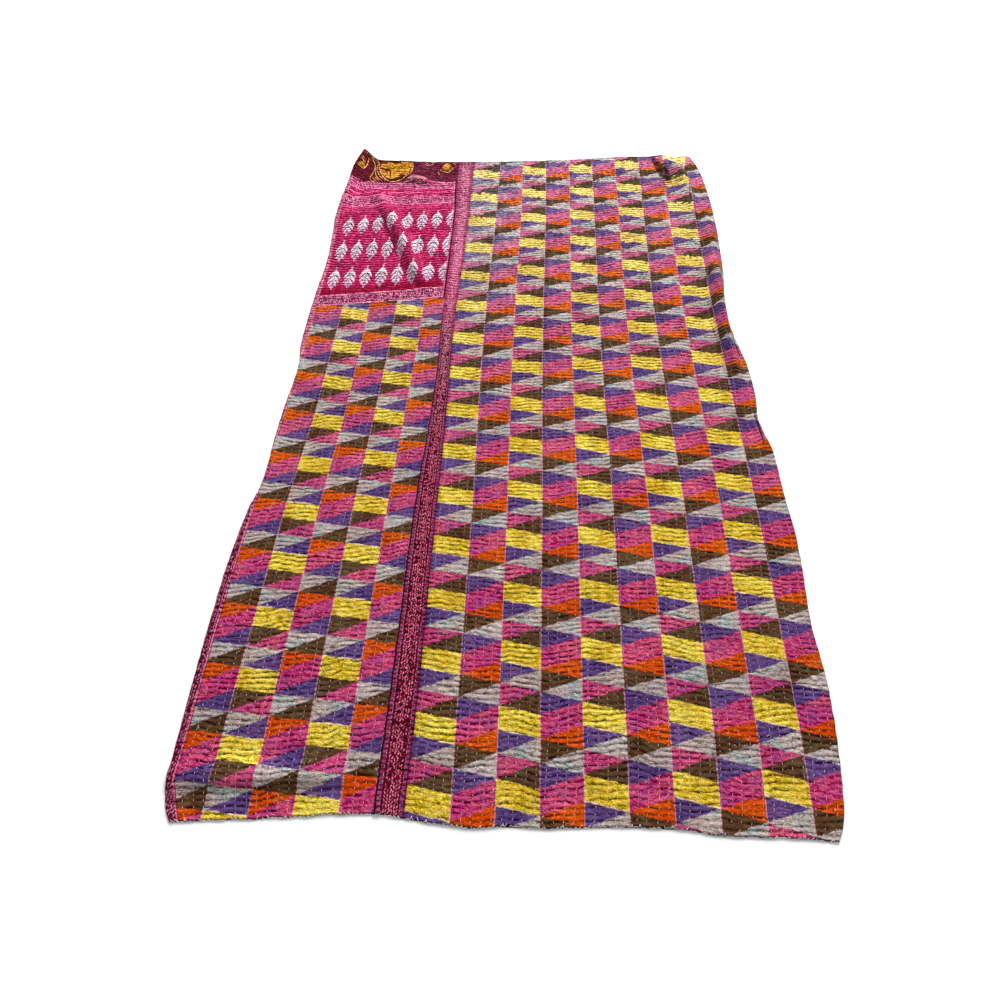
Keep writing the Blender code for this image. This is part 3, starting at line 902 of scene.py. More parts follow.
BROWN_STROKES = table_of(
    Stroke,
    (6.0, ((-600, 1052), (-590, 1040), (-588, 1020), (-584, 1002))),
    (4.0, ((-606, 1102), (-616, 1090), (-612, 1078), (-602, 1082), (-598, 1098))),
    (4.2, ((-574, 1046), (-562, 1062), (-546, 1076), (-534, 1100))),
    (3.2, ((-560, 1052), (-545, 1062), (-530, 1088))),
    (4.0, ((-530, 1078), (-514, 1072), (-505, 1052), (-508, 1030))),
    (6.0, ((-552, 1008), (-538, 1020), (-527, 1008), (-543, 993), (-566, 986))),
    (2.6, ((-533, 1040), (-520, 1038), (-518, 1026), (-527, 1022))),
    (3.6, ((-636, 1084), (-620, 1074), (-602, 1070), (-586, 1060), (-572, 1064),
           (-566, 1078))),
    (3.4, ((-628, 1034), (-612, 1042), (-600, 1022), (-604, 1008))),
    (3.4, ((-580, 1024), (-566, 1040), (-552, 1038), (-546, 1026))),
    (3.4, ((-550, 1090), (-534, 1082), (-524, 1090), (-514, 1100))),
    (3.2, ((-546, 1068), (-536, 1056), (-522, 1060), (-512, 1050))),
    (3.0, ((-540, 1034), (-530, 1030), (-524, 1014))),
    (2.8, ((-598, 1088), (-588, 1080), (-578, 1082))),
    (2.6, ((-622, 1040), (-610, 1030), (-600, 1034))),
    (2.4, ((-622, 1022), (-609, 1013), (-598, 1016))),
    (2.6, ((-584, 1070), (-576, 1062), (-580, 1052))),
    (2.4, ((-574, 1030), (-564, 1022), (-560, 1030))),
    (2.4, ((-716, 1052), (-708, 1050), (-703, 1054))),
    (3.4, ((-340, 1080), (-335, 1074), (-338, 1066))),
    (2.6, ((-352, 1084), (-346, 1086), (-343, 1082))),
    (2.2, ((-356, 1070), (-350, 1064), (-344, 1066))),
)


def curve(points, pitch):
    """Even places along a smooth line through a few points."""
    points = np.array(points, float)
    run = np.concatenate([[0.0], np.cumsum(np.linalg.norm(np.diff(points, axis=0), axis=-1))])
    at = np.linspace(0.0, run[-1], max(4, int(run[-1] / pitch)))
    slopes = np.gradient(points, run, axis=0)
    k = np.clip(np.searchsorted(run, at, side="right") - 1, 0, len(run) - 2)
    width = (run[k + 1] - run[k])[:, None]
    t = (at - run[k])[:, None] / width
    return smooth_between(t, width, points[k], slopes[k], points[k + 1], slopes[k + 1])


def ribbon(stroke, pitch=2.0):
    """A brush stroke as a strip, thin at both ends: an array of points, length by 3."""
    line = curve(stroke.points, pitch)
    along = unit(np.gradient(line, axis=0))
    aside = np.stack([-along[:, 1], along[:, 0]], -1)
    share = np.linspace(0.0, 1.0, len(line))
    half = stroke.width / 2 * (0.3 + 0.7 * np.sin(math.pi * share) ** 0.5)
    return line[:, None] + aside[:, None] * (half[:, None] * np.array([-1, 0, 1]))[..., None]


def blot(outline, pitch=2.4):
    """A filled shape around its middle: an array of points, outline by rings."""
    closed = curve((*outline, outline[0]), pitch)
    middle = closed.mean(0)
    rings = int(np.linalg.norm(closed - middle, axis=-1).max() / pitch) + 2
    shares = np.linspace(0.02, 1.0, rings)[None, :, None]
    return middle + (closed[:, None] - middle) * shares


def lay_on(cloth_points, shapes, lift):
    """Lays flat shapes on a cloth, lift mm above it, with the cloth's ripples."""
    over, ripple = cloth_points
    height, width = over.shape[:2]
    lines, columns = np.arange(height), np.arange(width)
    points, faces, facts, first = [], [], [], 0
    for shape in shapes:
        places = shape.reshape(-1, 2)
        at = []
        for x, y in places:
            # Its place in the grid is found by turns: a column on the line, a line on the column.
            line = height / 2
            for _ in range(5):
                i = min(int(line), height - 2)
                across = over[i, :, 0] * (i + 1 - line) + over[i + 1, :, 0] * (line - i)
                column = np.interp(x, across, columns)
                j = min(int(column), width - 2)
                along = over[:, j, 1] * (j + 1 - column) + over[:, j + 1, 1] * (column - j)
                line = np.interp(y, along, lines)
            at.append((line, column))
        line, column = np.array(at).T
        points.append(at_grid(over, line, column) + np.array([0, 0, lift]))
        facts.append(at_grid(ripple, line, column))
        numbers = np.arange(len(places)).reshape(shape.shape[:2]) + first
        faces.append(cells(numbers))
        first += len(places)
    return np.concatenate(points), np.concatenate(faces), np.concatenate(facts)


def printed_piece(name, cloth_points, shapes, lift):
    """One colour of the paisley print as a joined piece, face up."""
    points, faces, ripple = lay_on(cloth_points, shapes, lift)
    a, b, c = (points[faces[:, k]] for k in range(3))
    up = np.cross(b - a, c - a)[:, 2] > 0
    faces = np.where(up[:, None], faces, faces[:, ::-1])
    piece, _ = joined_mesh(name, points, [faces])
    cloth = points * MM
    cloth[:, 2] = 0
    # It is far enough from the turned ends not to get their dark brown of grime and painted shade.
    carry(piece, {"cloth": cloth, "ripple": ripple, "edge": 0 * ripple + 9})
    return piece


# ---------------------------------------------------------------- materials
def paint(code):
    """An sRGB hex colour as linear red, green, blue and alpha."""
    shares = [int(code[i : i + 2], 16) / 255 for i in (1, 3, 5)]
    line = [s / 12.92 if s <= 0.04045 else ((s + 0.055) / 1.055) ** 2.4 for s in shares]
    return (*line, 1.0)


def add(tree, kind, *inputs, stops=(), **settings):
    """Adds a node, its settings and its inputs, each a socket to link or a value."""
    node = tree.nodes.new("ShaderNode" + kind)
    for name, value in settings.items():
        setattr(node, name, value)
    for socket, value in zip(node.inputs, inputs):
        if isinstance(value, bpy.types.NodeSocket):
            tree.links.new(value, socket)
        elif value is not None:
            socket.default_value = value
    if stops:
        elements = node.color_ramp.elements
        while len(elements) < len(stops):
            elements.new(1.0)
        for element, (place, colour) in zip(elements, stops):
            element.position = place
            element.color = paint(colour)
    return node.outputs[0]


def step(tree, value, low, high):
    """0 below low and 1 above high, with a soft change between."""
    return add(tree, "MapRange", value, low, high, 0.0, 1.0, interpolation_type="SMOOTHSTEP")


SIGNS = {
    ast.Add: "ADD",
    ast.Sub: "SUBTRACT",
    ast.Mult: "MULTIPLY",
    ast.Div: "DIVIDE",
    ast.Gt: "GREATER_THAN",
    ast.Lt: "LESS_THAN",
}


def formula(tree, text, **known):
    """Adds the nodes that work out a written formula, such as "step(s * 2, 0.2, 0.5) + 1".

    step in it is the function above, and any other word is an operation of a Math node.
    """

    def part(piece):
        if isinstance(piece, ast.Constant):
            return float(piece.value)
        if isinstance(piece, ast.Name):
            return known[piece.id]
        if isinstance(piece, ast.UnaryOp):
            return -part(piece.operand)
        if isinstance(piece, ast.BinOp):
            sides, sign = (piece.left, piece.right), SIGNS[type(piece.op)]
        elif isinstance(piece, ast.Compare):
            sides, sign = (piece.left, piece.comparators[0]), SIGNS[type(piece.ops[0])]
        elif piece.func.id == "step":
            return step(tree, *map(part, piece.args))
        else:
            sides, sign = piece.args, piece.func.id.upper()
        return add(tree, "Math", *map(part, sides), operation=sign)

    return part(ast.parse(text).body[0].value)


def mix(tree, share, first, second):
    """One colour laid over another by a share.  A colour is a socket or a hex code."""
    first, second = (paint(c) if isinstance(c, str) else c for c in (first, second))
    return add(tree, "MixRGB", share, first, second, use_clamp=True)


def stain(tree, colour, over, where, **known):
    """A second colour laid over the first by the share that a formula gives."""
    return mix(tree, formula(tree, where, **known), colour, over)


def bands(tree, value, low, high, table):
    """Plain stripes: table gives the value at which each colour begins."""
    place = formula(tree, "(v - low) / width", v=value, low=low, width=high - low)
    stops = [((start - low) / (high - low), code) for start, code in table]
    node = add(tree, "ValToRGB", place, stops=stops)
    node.node.color_ramp.interpolation = "CONSTANT"
    return node


def per_metre(size):
    """How often a size in mm goes into a metre, which is the scale of a pattern that wide."""
    return round(1000 / size)


def grain(tree, across, along, wide, tall):
    """Places for a pattern whose grains are about that wide and tall, in mm."""
    return add(tree, "CombineXYZ", formula(tree, "a * k", a=across, k=per_metre(wide)),
               formula(tree, "b * k", b=along, k=per_metre(tall)))


def patches(tree, place, size, detail, roughness, low, high):
    """Soft uneven patches about size mm wide: 1 within them and 0 between them."""
    noise = add(tree, "TexNoise", place, None, per_metre(size), detail, roughness)
    return step(tree, noise, low, high)


def fact(tree, name):
    """The vector of a named fact that the mesh carries, and its three numbers."""
    node = tree.nodes.new("ShaderNodeAttribute")
    node.attribute_name = name
    vector = node.outputs["Vector"]
    apart = add(tree, "SeparateXYZ", vector).node
    return vector, apart.outputs[0], apart.outputs[1], apart.outputs[2]


def cotton_finish(tree, colour):
    """The surface all the cloths share: soft matt cotton, puckered, its threads just visible."""
    cloth, across, along, _ = fact(tree, "cloth")
    _, phase, depth, row = fact(tree, "ripple")
    _, _, _, end = fact(tree, "edge")
    # Crumples lie along the ripples, about 15 mm long; slanting creases join two troughs.
    crumple = add(tree, "TexNoise", grain(tree, across, along, 15.6, 6.06), None, 1.0, 3.0, 0.66)
    slanted = add(tree, "CombineXYZ", formula(tree, "a * 40 + b * 30", a=across, b=along),
                  formula(tree, "b * 84", b=along))
    joining = add(tree, "TexNoise", slanted, None, 1.0, 1.0, 0.5)
    fork = formula(tree, "step(absolute(n - 0.5), 0, 0.05)", n=joining)
    # Troughs: 0 in the crease, 1 on the puff, about 3 mm wide and nowhere quite even.
    near = formula(tree, "pingpong(phase, 0.5) * 2 + (w - 0.5) * 1.3", phase=phase, w=crumple)
    crease = step(tree, near, -0.02, 0.42)
    # Rows of running stitch pull a narrow furrow.
    furrow = formula(tree, "step(absolute(fract(row) - 0.5), 0, 0.13)", row=row)
    # Threads are 0.4 mm apart; they are drawn at 1.309 mm so that they show.
    weave = formula(tree, "sine(a * k) * sine(b * k)", a=across, b=along,
                    k=per_metre(1.309 / math.tau))
    # Thicker lengths of thread, and the nap.
    drawn = add(tree, "TexNoise", grain(tree, across, along, 3.33, 1.613), None, 1.0, 2.0, 0.6)
    slubs = step(tree, drawn, 0.28, 0.72)
    nap = add(tree, "TexNoise", cloth, None, per_metre(4.35), 2.0, 0.7)
    known = {
        "crease": crease, "depth": depth, "fork": fork, "furrow": furrow, "weave": weave,
        "slubs": slubs, "crumple": crumple, "near": near, "nap": nap, "end": end, "along": along,
    }
    height = formula(
        tree,
        "(crease - 1) * depth * 0.9 + (fork - 1) * 0.8 + (furrow - 1) * 0.3 + weave * 0.04"
        " + slubs * 0.5 + crumple * 3.6",
        **known,
    )
    bump = add(tree, "Bump", 1.0, 0.001, None, height)
    # The turned edge at the foot and at the head is painted darker brown: partly grime, partly
    # painted shade on the rim.
    colour = stain(tree, colour, "#2c140f", "step(end, 0.5, 0.2) * 0.72", **known)
    # Painted shade darkens the troughs, the slanting creases and the low crumples, the more so
    # towards the head, and a painted highlight lightens the tops of the puffs; thicker threads and
    # the nap vary the brightness.
    shade = formula(
        tree,
        "(1 - crease) * depth * (0.68 + maximum(along, 0) * 0.5) + (1 - fork) * 0.36"
        " + (0.5 - crumple) * (0.9 + maximum(along + 0.2, 0) * 1.3)",
        **known,
    )
    worn = formula(
        tree,
        "(0.57 + slubs * 0.7 + step(near, 0.45, 0.95) * 0.26"
        " + (nap - 0.5) * (1.6 + maximum(along + 0.4, 0))) * (1 - minimum(shade, 0.88))",
        shade=shade, **known,
    )
    # The painted shade is also a little more saturated.
    rich = formula(tree, "1 + shade * 0.3", shade=shade)
    return add(tree, "HueSaturation", 0.5, rich, worn, 1.0, colour), bump


def matt_material(name, roughness):
    """A new matt material, its node tree and the inputs of its shader."""
    material = bpy.data.materials.new(name)
    material.use_nodes = True
    inputs = material.node_tree.nodes["Principled BSDF"].inputs
    inputs["Roughness"].default_value = roughness
    return material, material.node_tree, inputs


def cotton_material(name, printed):
    """Sari cotton, washed until soft: matt, with a faint nap that takes the shine off."""
    material, tree, inputs = matt_material(name, 0.92)
    colour, bump = cotton_finish(tree, printed(tree))
    tree.links.new(colour, inputs["Base Color"])
    tree.links.new(bump, inputs["Normal"])
    inputs["Specular IOR Level"].default_value = 0.06
    return material


# The twelve printed triangles and bands of two neighbouring columns, in the order of the print.
HARLEQUIN = (
    "#dabb44", "#dabb44", "#5a4175", "#ae9e97", "#b8486e", "#523826",
    "#bd446f", "#c64c00", "#523824", "#b09f9c", "#5a4176", "#b4426a",
)
# Which of them are of each dye.
DYES = {
    "yellow": "n < 1.5",
    "red": "compare(n, 4, 0.5) + compare(n, 6, 0.5) + compare(n, 11, 0.5)",
    "brown": "compare(n, 5, 0.5) + compare(n, 8, 0.5)",
    "grey": "compare(n, 3, 0.5) + compare(n, 9, 0.5)",
    "orange": "compare(n, 7, 0.5)",
}
RUN_DYES = (
    # Yellow is blotched with green and orange where other dyes have run.
    ("#878438", "yellow * step(blotch, 0.5, 0.68) * 0.45"),
    ("#c98a28", "yellow * step(blotch, 0.46, 0.28) * 0.55"),
    # The reds are cloudy with purple and a little greyed, and the browns are cloudy with olive.
    ("#8a447c", "red * (cloud * 0.5 + maximum(along, 0) * 0.14)"),
    ("#d8b0b8", "red * step(along, -0.7, -0.1) * 0.055"),
    ("#5f5236", "brown * cloud * 0.5"),
    ("#3a3410", "brown * maximum(along, 0) * 0.4"),
)
BLED_DYES = (
    # Dyes have bled between neighbours.
    ("#7c3c20", "step(bleed, 0.5, 0.75) * 0.16"),
    # Some of the greys lean to blue.
    ("#93a3a3", "grey * step(bleed, 0.5, 0.36) * 0.7"),
    # Beside the lap the head end has bleached a little, but not the orange.
    ("#bebec8", "step(along, 0.1, 0.8) * step(across, 0.05, -0.22) * (0.1 + tone * 0.26)"
                " * (1 - brown * 0.85) * (1 - orange) * (1 - yellow * 0.75)"),
)


def print_field(tree):
    """Two columns of slanting bands and triangles in turn, in uneven and faded dyes."""
    cloth, across, along, _ = fact(tree, "cloth")
    _, column, repeat, _ = fact(tree, "print")
    # Hand printing leaves each edge a little uneven.
    wobble = add(tree, "TexNoise", grain(tree, across, along, 18.2, 8.33), None, 1.0, 1.0, 0.6)
    fuzz = add(tree, "TexNoise", cloth, None, per_metre(1.538), 1.0, 0.6)
    # The puckers leave its edges wavy, the more so towards the head.
    wave = add(tree, "TexNoise", grain(tree, across, along, 38.5, 21.7), None, 1.0, 1.0, 0.5)
    repeat = formula(
        tree, "t + (w - 0.5) * (0.16 + maximum(b, 0) * 0.34) + (f - 0.5) * 0.14"
        " + (v - 0.5) * (0.1 + maximum(b + 0.1, 0) * 0.5)",
        t=repeat, w=wobble, f=fuzz, b=along, v=wave,
    )
    column = formula(tree, "c + (w - 0.5) * 0.03 + (f - 0.5) * 0.025", c=column, w=wobble, f=fuzz)
    # Each column is slanting bands to one side of a zigzag and triangles to the other.
    parity = formula(tree, "floored_modulo(floor(c), 2)", c=column)
    share = formula(tree, "fract(c)", c=column)
    down = formula(tree, "t - p / 2", t=repeat, p=parity)
    number = formula(
        tree, "floored_modulo(floor(t - s / 2) + floor(t + s / 2), 6) + 6 * p",
        t=down, s=share, p=parity,
    )
    colour = bands(tree, formula(tree, "n + 0.5", n=number), 0, 12, list(enumerate(HARLEQUIN)))
    # The dyes took a little differently from place to place.
    tone = patches(tree, cloth, 91, 2.0, 0.5, 0.3, 0.7)
    colour = add(tree, "HueSaturation", formula(tree, "0.49 + v * 0.02", v=tone),
                 formula(tree, "1.03 - v * 0.07", v=tone), formula(tree, "0.84 + v * 0.3", v=tone),
                 1.0, colour)
    known = {dye: formula(tree, which, n=number) for dye, which in DYES.items()}
    known |= {
        "across": across, "along": along, "tone": tone, "number": number, "down": down,
        "share": share,
        "blotch": add(tree, "TexNoise", cloth, None, per_metre(29.4), 3.0, 0.6),
        "cloud": patches(tree, cloth, 33.3, 2.0, 0.6, 0.48, 0.66),
        "bleed": add(tree, "TexNoise", cloth, None, per_metre(62.5), 3.0, 0.6),
    }
    for code, where in RUN_DYES:
        colour = stain(tree, colour, code, where, **known)
    # The head end has faded a little.
    fade = formula(tree, "1 - maximum(along + 0.2, 0) * 0.08 * (1 - orange * 0.5)", **known)
    colour = add(tree, "HueSaturation", 0.5, fade, 1.0, 1.0, colour)
    for code, where in BLED_DYES:
        colour = stain(tree, colour, code, where, **known)
    orange = mix(tree, step(tree, along, -0.9, 0.2), "#c44400", "#c45800")
    colour = stain(tree, colour, orange, "orange * 0.6", **known)
    # Yellow pales towards the head.  A pale line is left along the near side of its bands.
    colour = stain(tree, colour, "#efd9a4", "yellow * maximum(along, 0) * 0.14", **known)
    colour = stain(
        tree, colour, "#e9d3ae",
        "(1 - step(pingpong(down - share / 2, 0.5), 0.006, 0.04)) * (number > 0.5)"
        " * (number < 2.5) * 0.75",
        **known,
    )
    # A thin pale pink line runs down beside each column.
    broken = patches(tree, cloth, 3.33, 1.0, 0.5, 0.4, 0.55)
    line = mix(tree, known["yellow"], "#d494a4", "#e3b48e")
    return stain(
        tree, colour, line, "(1 - step(pingpong(c, 0.5), 0.005, 0.022)) * (0.3 + b * 0.35)",
        c=column, b=broken,
    )


def print_right(tree):
    """The harlequin field, with painted shade in its few pinched creases and along its turned right
    edge.
    """
    _, _, _, off_line = fact(tree, "print")
    cloth, _, along, _ = fact(tree, "cloth")
    _, off, _, _ = fact(tree, "edge")
    uneven = add(tree, "TexNoise", cloth, None, per_metre(14.3), 2.0, 0.6)
    # Painted shade along the narrow pinched creases.
    line = formula(tree, "step(absolute(o + (n - 0.5) * 7), 4.6, 1.6)", o=off_line, n=uneven)
    low = formula(tree, "step(b, -0.252, -0.2) * step(b, -0.104, -0.13)", b=along)
    high = formula(tree, "step(b, 0.81, 0.88) * step(b, 1.0, 0.96)", b=along)
    patchy = patches(tree, cloth, 111, 1.0, 0.5, 0.42, 0.58)
    # Along the turned right edge, patchy darkening: partly grime, partly painted shade.
    hem = formula(tree, "step(o, 5.5, 2.0) * p * 0.5", o=off, p=patchy)
    return stain(tree, print_field(tree), "#2a1218", "maximum(p * maximum(l * 0.9, u * 0.7), h)",
                 p=line, l=low, u=high, h=hem)


def plaited_marks(tree, across, along, wide, tall):
    """Short dashes in rows that lean left and right like a plait: 0 to 1.  Sizes in mm."""
    place = add(tree, "CombineXYZ", across, along)
    stray = add(tree, "TexNoise", place, None, 0.09, 2.0, 0.5)
    u = formula(tree, "a / wide + (n - 0.5) * 0.7", a=across, wide=wide, n=stray)
    v = formula(tree, "b / tall + floored_modulo(floor(u), 2) * 0.45 + (n - 0.5) * 0.9",
                b=along, tall=tall, u=u, n=stray)
    cell = add(tree, "CombineXYZ", formula(tree, "floor(u)", u=u), formula(tree, "floor(v)", v=v))
    chance = add(tree, "TexWhiteNoise", cell)
    off = formula(
        tree, "absolute(fract(u) - 0.5 - ((fract(c * 9) > 0.45) * 2 - 1) * (fract(v) - 0.5) * 0.5)",
        u=u, v=v, c=chance,
    )
    return formula(
        tree,
        "step(off, 0.27, 0.13) * step(absolute(fract(v) - 0.5), 0.45, 0.32) * (0.45 + c * 0.55)"
        " * (c > 0.18)",
        off=off, v=v, c=chance,
    )


# Stripes across the lapped border, by share of its width. The first, darkest one is partly a printed
# edge line and partly painted shade on the lap's rounded edge.
BORDER_STRIPES = (
    (0.0, "#3c0214"), (0.07, "#924066"), (0.205, "#46061a"), (0.245, "#58001e"),
    (0.8, "#500824"), (0.83, "#8c3e62"), (0.94, "#681438"), (0.985, "#8a3058"),
)


def print_border(tree):
    """Crimson border: plaited pale marks between two dashed pink lines."""
    cloth, _, along, _ = fact(tree, "cloth")
    _, share, _, _ = fact(tree, "print")
    _, phase, _, _ = fact(tree, "ripple")
    wobble = add(tree, "TexNoise", cloth, None, per_metre(9.1), 2.0, 0.6)
    share = formula(tree, "s + (w - 0.5) * 0.06", s=share, w=wobble)
    colour = bands(tree, share, 0, 1, BORDER_STRIPES)
    known = {
        "share": share, "along": along, "phase": phase,
        "off": formula(tree, "absolute(s - 0.522)", s=share),
        "marks": plaited_marks(tree, formula(tree, "s * 60", s=share),
                               formula(tree, "b * 1000", b=along), 5.2, 6.8),
        "fade": formula(tree, "step(b, 0.05, 0.5) * (0.9 - maximum(b - 0.6, 0))", b=along),
    }
    faded = mix(tree, step(tree, along, 0.3, 0.7), "#c04c78", "#be5a80")
    pale = mix(tree, step(tree, along, -0.3, 0.3), "#f6809f", "#ffb4ca")
    for over, where in (
        (faded, "fade"),
        (pale, "marks * (1 - step(off, 0.265, 0.285))"),
        ("#4a061e", "(1 - step(pingpong(along * 1000 / 9.5, 0.5), 0.12, 0.2))"
                    " * step(off, 0.3, 0.32) * 0.8"),
        # Painted shade: towards the head the troughs show as rows of dark spots.
        ("#5c1236", "step(pingpong(phase, 0.5) * 2, 0.6, 0.15)"
                    " * step(absolute(fract(share * 7) - 0.5), 0.38, 0.2) * fade * 0.85"),
    ):
        colour = stain(tree, colour, over, where, **known)
    return colour


# Stripes of the left panel's end, by how far up they begin, mm.
END_STRIPES = (
    (290, "#e87ca2"), (304, "#94285a"), (346, "#ee80a8"), (350, "#8e0030"), (373, "#980040"),
    (772, "#b42c5c"), (812, "#ee80a8"), (817, "#9c3064"), (871, "#ee80a8"), (876, "#a8104c"),
    (896, "#ee76a4"), (900, "#a8104c"), (919, "#ee80a8"), (924, "#a03468"),
)
# Which of those stripes are speckled: white ones.
SPECKLED_STRIPES = (
    (290, "#000000"), (304, "#ffffff"), (347, "#000000"), (817, "#ffffff"), (871, "#000000"),
    (924, "#ffffff"),
)
LEAF_PITCH = 58.4
LEAF_ROW = 136.0


def leaf(tree, across, up):
    """White leaves that hang point down, with four pairs of drooping lobes, and their veins."""
    known = {
        "p": formula(tree, "absolute(fract(x / pitch + 12.588) - 0.5) * pitch",
                     x=across, pitch=LEAF_PITCH),
        "q": formula(tree, "(0.84 - fract((w - 368) / row)) * row", w=up, row=LEAF_ROW),
    }
    # Lobes droop: l counts them down the leaf, a is the share of one and n its number.
    known["l"] = formula(tree, "(q - 12 - p * 0.85 - p * p * 0.022) / 23.5", **known)
    known["a"] = formula(tree, "fract(l)", **known)
    known["n"] = formula(tree, "maximum(floor(l), 0)", **known)
    known["reach"] = formula(
        tree,
        "(22.5 - n * n * 2.1) * sqrt(maximum(1 - (a * 1.8 - 0.9) * (a * 1.8 - 0.9), 0)) * (l > 0)",
        **known,
    )
    known["inside"] = formula(
        tree, "(p < maximum(reach, (111 - q) * 0.4 * (q > 74))) * (q > 12)", **known
    )
    # The veins are thickest at the sides.
    vein = formula(
        tree,
        "(minimum(a, 1 - a) * 23 < minimum(0.9 + p * 0.4, 4.4) * (1 - n * 0.2))"
        " * (l > 0.6) * (l < 3.2) * (p > 1.2)",
        **known,
    )
    middle = formula(tree, "(p < 1.2) * (q > 40) * (q < 84) * 0.7", **known)
    rings = formula(
        tree,
        "(absolute(sqrt(p * p + (q - 87) * (q - 87) * 0.6) - 3.4) < 1.3)"
        " + (absolute(sqrt(p * p + (q - 100) * (q - 100) * 0.6) - 1.6) < 1.0) * 0.8",
        **known,
    )
    stalk = "maximum((p < 1.5) * (q > 0) * (q < 20), p * p + (q - 2) * (q - 2) < 12)"
    shape = formula(tree, f"maximum(inside, {stalk} * 0.8)", **known)
    veins = formula(tree, "minimum(v + m + r, 1) * inside", v=vein, m=middle, r=rings, **known)
    return shape, veins, known["q"]


def print_left(tree):
    """The left panel: harlequin field, speckled side border, and the leaf-patterned end."""
    cloth, across, along, _ = fact(tree, "cloth")
    _, _, _, up = fact(tree, "print")
    _, inside, lap, _ = fact(tree, "edge")
    _, phase, _, _ = fact(tree, "ripple")
    plan = add(tree, "SeparateXYZ", tree.nodes.new("ShaderNodeTexCoord").outputs["Object"])
    plan_x = formula(tree, "x * 1000", x=plan)
    wobble = add(tree, "TexNoise", cloth, None, per_metre(11.1), 2.0, 0.6)
    up = formula(tree, "w + (n - 0.5) * 5", w=up, n=wobble)
    marks = plaited_marks(tree, plan_x, up, 6.4, 8.6)
    shape, veins, down = leaf(tree, formula(tree, "x + (n - 0.5) * 3", x=plan_x, n=wobble), up)
    white = mix(tree, formula(tree, "(q - 34) / 130", q=down), "#dccdd8", "#d070a6")
    white = mix(tree, veins, white, "#38062a")
    streaks = grain(tree, across, along, 7.7, 13.3)
    known = {
        "up": up, "marks": marks, "inside": inside, "lap": lap, "shape": shape, "phase": phase,
        "wobble": wobble,
        "speckled": bands(tree, up, 290, 980, SPECKLED_STRIPES),
        "streaks": add(tree, "TexNoise", streaks, None, 1.0, 1.0, 0.6),
        "patchy": patches(tree, cloth, 45.5, 2.0, 0.6, 0.38, 0.6),
    }
    ground = bands(tree, up, 290, 980, END_STRIPES)
    for over, where in (
        ("#ffc4d6", "speckled * marks"),
        ("#52062e", "speckled * step(streaks, 0.52, 0.58) * 0.75"),
        # A painted highlight, in pink, lies on the puffs between two rows of ripples.
        ("#ea5c92", "step(pingpong(phase, 0.5) * 2 + (wobble - 0.5) * 0.8, 0.5, 0.95)"
                    " * (0.5 + patchy * 0.5) * ((up > 384) * 0.6 + 0.05)"),
        (white, "shape * (up > 366) * (up < 776) * (inside > 9)"),
        # A pink stripe runs beside the lap; next to the lap a dark stripe is partly the cloth's own
        # and partly painted shadow of the lapping border.
        ("#dd6f98", "step(lap, -13, -11)"),
        ("#58082c", "step(lap, -8, -6)"),
    ):
        ground = stain(tree, ground, over, where, **known)
    field = stain(tree, print_field(tree), ground, "up > 302", **known)
    # The side border, as wide as the turned edge leaves it.
    border = bands(tree, inside, -30, 0, ((-30, "#640e30"), (-6, "#d86c90"), (-2, "#7c0c34")))
    worn = step(tree, along, -0.7, 0.0)
    border = stain(tree, border, "#c86488", "w * 0.45", w=worn)
    border = stain(tree, border, mix(tree, worn, "#c8829c", "#fcbcc6"), "marks * (inside < -6)",
                   **known)
    return mix(tree, formula(tree, "inside < 0", **known), field, border)


def print_patch(tree):
    """Plum cotton with a fine purple mottle."""
    cloth, _, _, _ = fact(tree, "cloth")
    _, across, up, _ = fact(tree, "print")
    mottle = add(tree, "TexNoise", cloth, None, per_metre(16.7), 3.0, 0.6)
    colour = mix(tree, step(tree, mottle, 0.35, 0.7), "#4c0b20", "#70293f")
    specks = patches(tree, cloth, 2.63, 1.0, 0.5, 0.6, 0.7)
    colour = stain(tree, colour, "#a05474", "s * 0.3", s=specks)
    colour = stain(tree, colour, "#5a0618", "step(a, 1.2, 0.3) * 0.75", a=across)
    # On the ruck the pink cloth's worn edge is drawn up over it; its pale pink also serves as a
    # painted highlight on the ruck's crest.
    marks = plaited_marks(tree, formula(tree, "u * 100", u=across), formula(tree, "v * 100", v=up),
                          4.2, 6.0)
    worn = mix(tree, marks, "#b4586f", "#ffd2d2")
    return stain(
        tree, colour, worn,
        "step(v - 0.27 * maximum(1 - (u - 2.75) * (u - 2.75) * 3.2, 0) + (m - 0.5) * 0.34, 0.05, 0)",
        u=across, v=up, m=mottle,
    )


def ink(code):
    """A printed colour, thinner in places so that it looks uneven."""

    def printed(tree):
        cloth, _, _, _ = fact(tree, "cloth")
        thin = patches(tree, cloth, 11.1, 3.0, 0.6, 0.45, 0.7)
        return mix(tree, formula(tree, "t * 0.35", t=thin), code, "#8a3a22")

    return printed


def thread_material(name, code, worn):
    """Cotton sewing thread: matt and slightly fuzzy, and duller towards the head end."""
    material, tree, inputs = matt_material(name, 0.85)
    place = tree.nodes.new("ShaderNodeTexCoord").outputs["Object"]
    uneven = patches(tree, place, 16.7, 2.0, 0.6, 0.35, 0.75)
    along = add(tree, "SeparateXYZ", place).node.outputs[1]
    dull = formula(tree, "maximum(u, step(b, -0.4, 0.4) * 0.8)", u=uneven, b=along)
    tree.links.new(mix(tree, dull, code, worn), inputs["Base Color"])
    return material


# ---------------------------------------------------------------- stage
def shine(lamp, way):
    """Turns a lamp to shine along a direction."""
    lamp.rotation_euler = Vector(way).to_track_quat("-Z", "Y").to_euler()


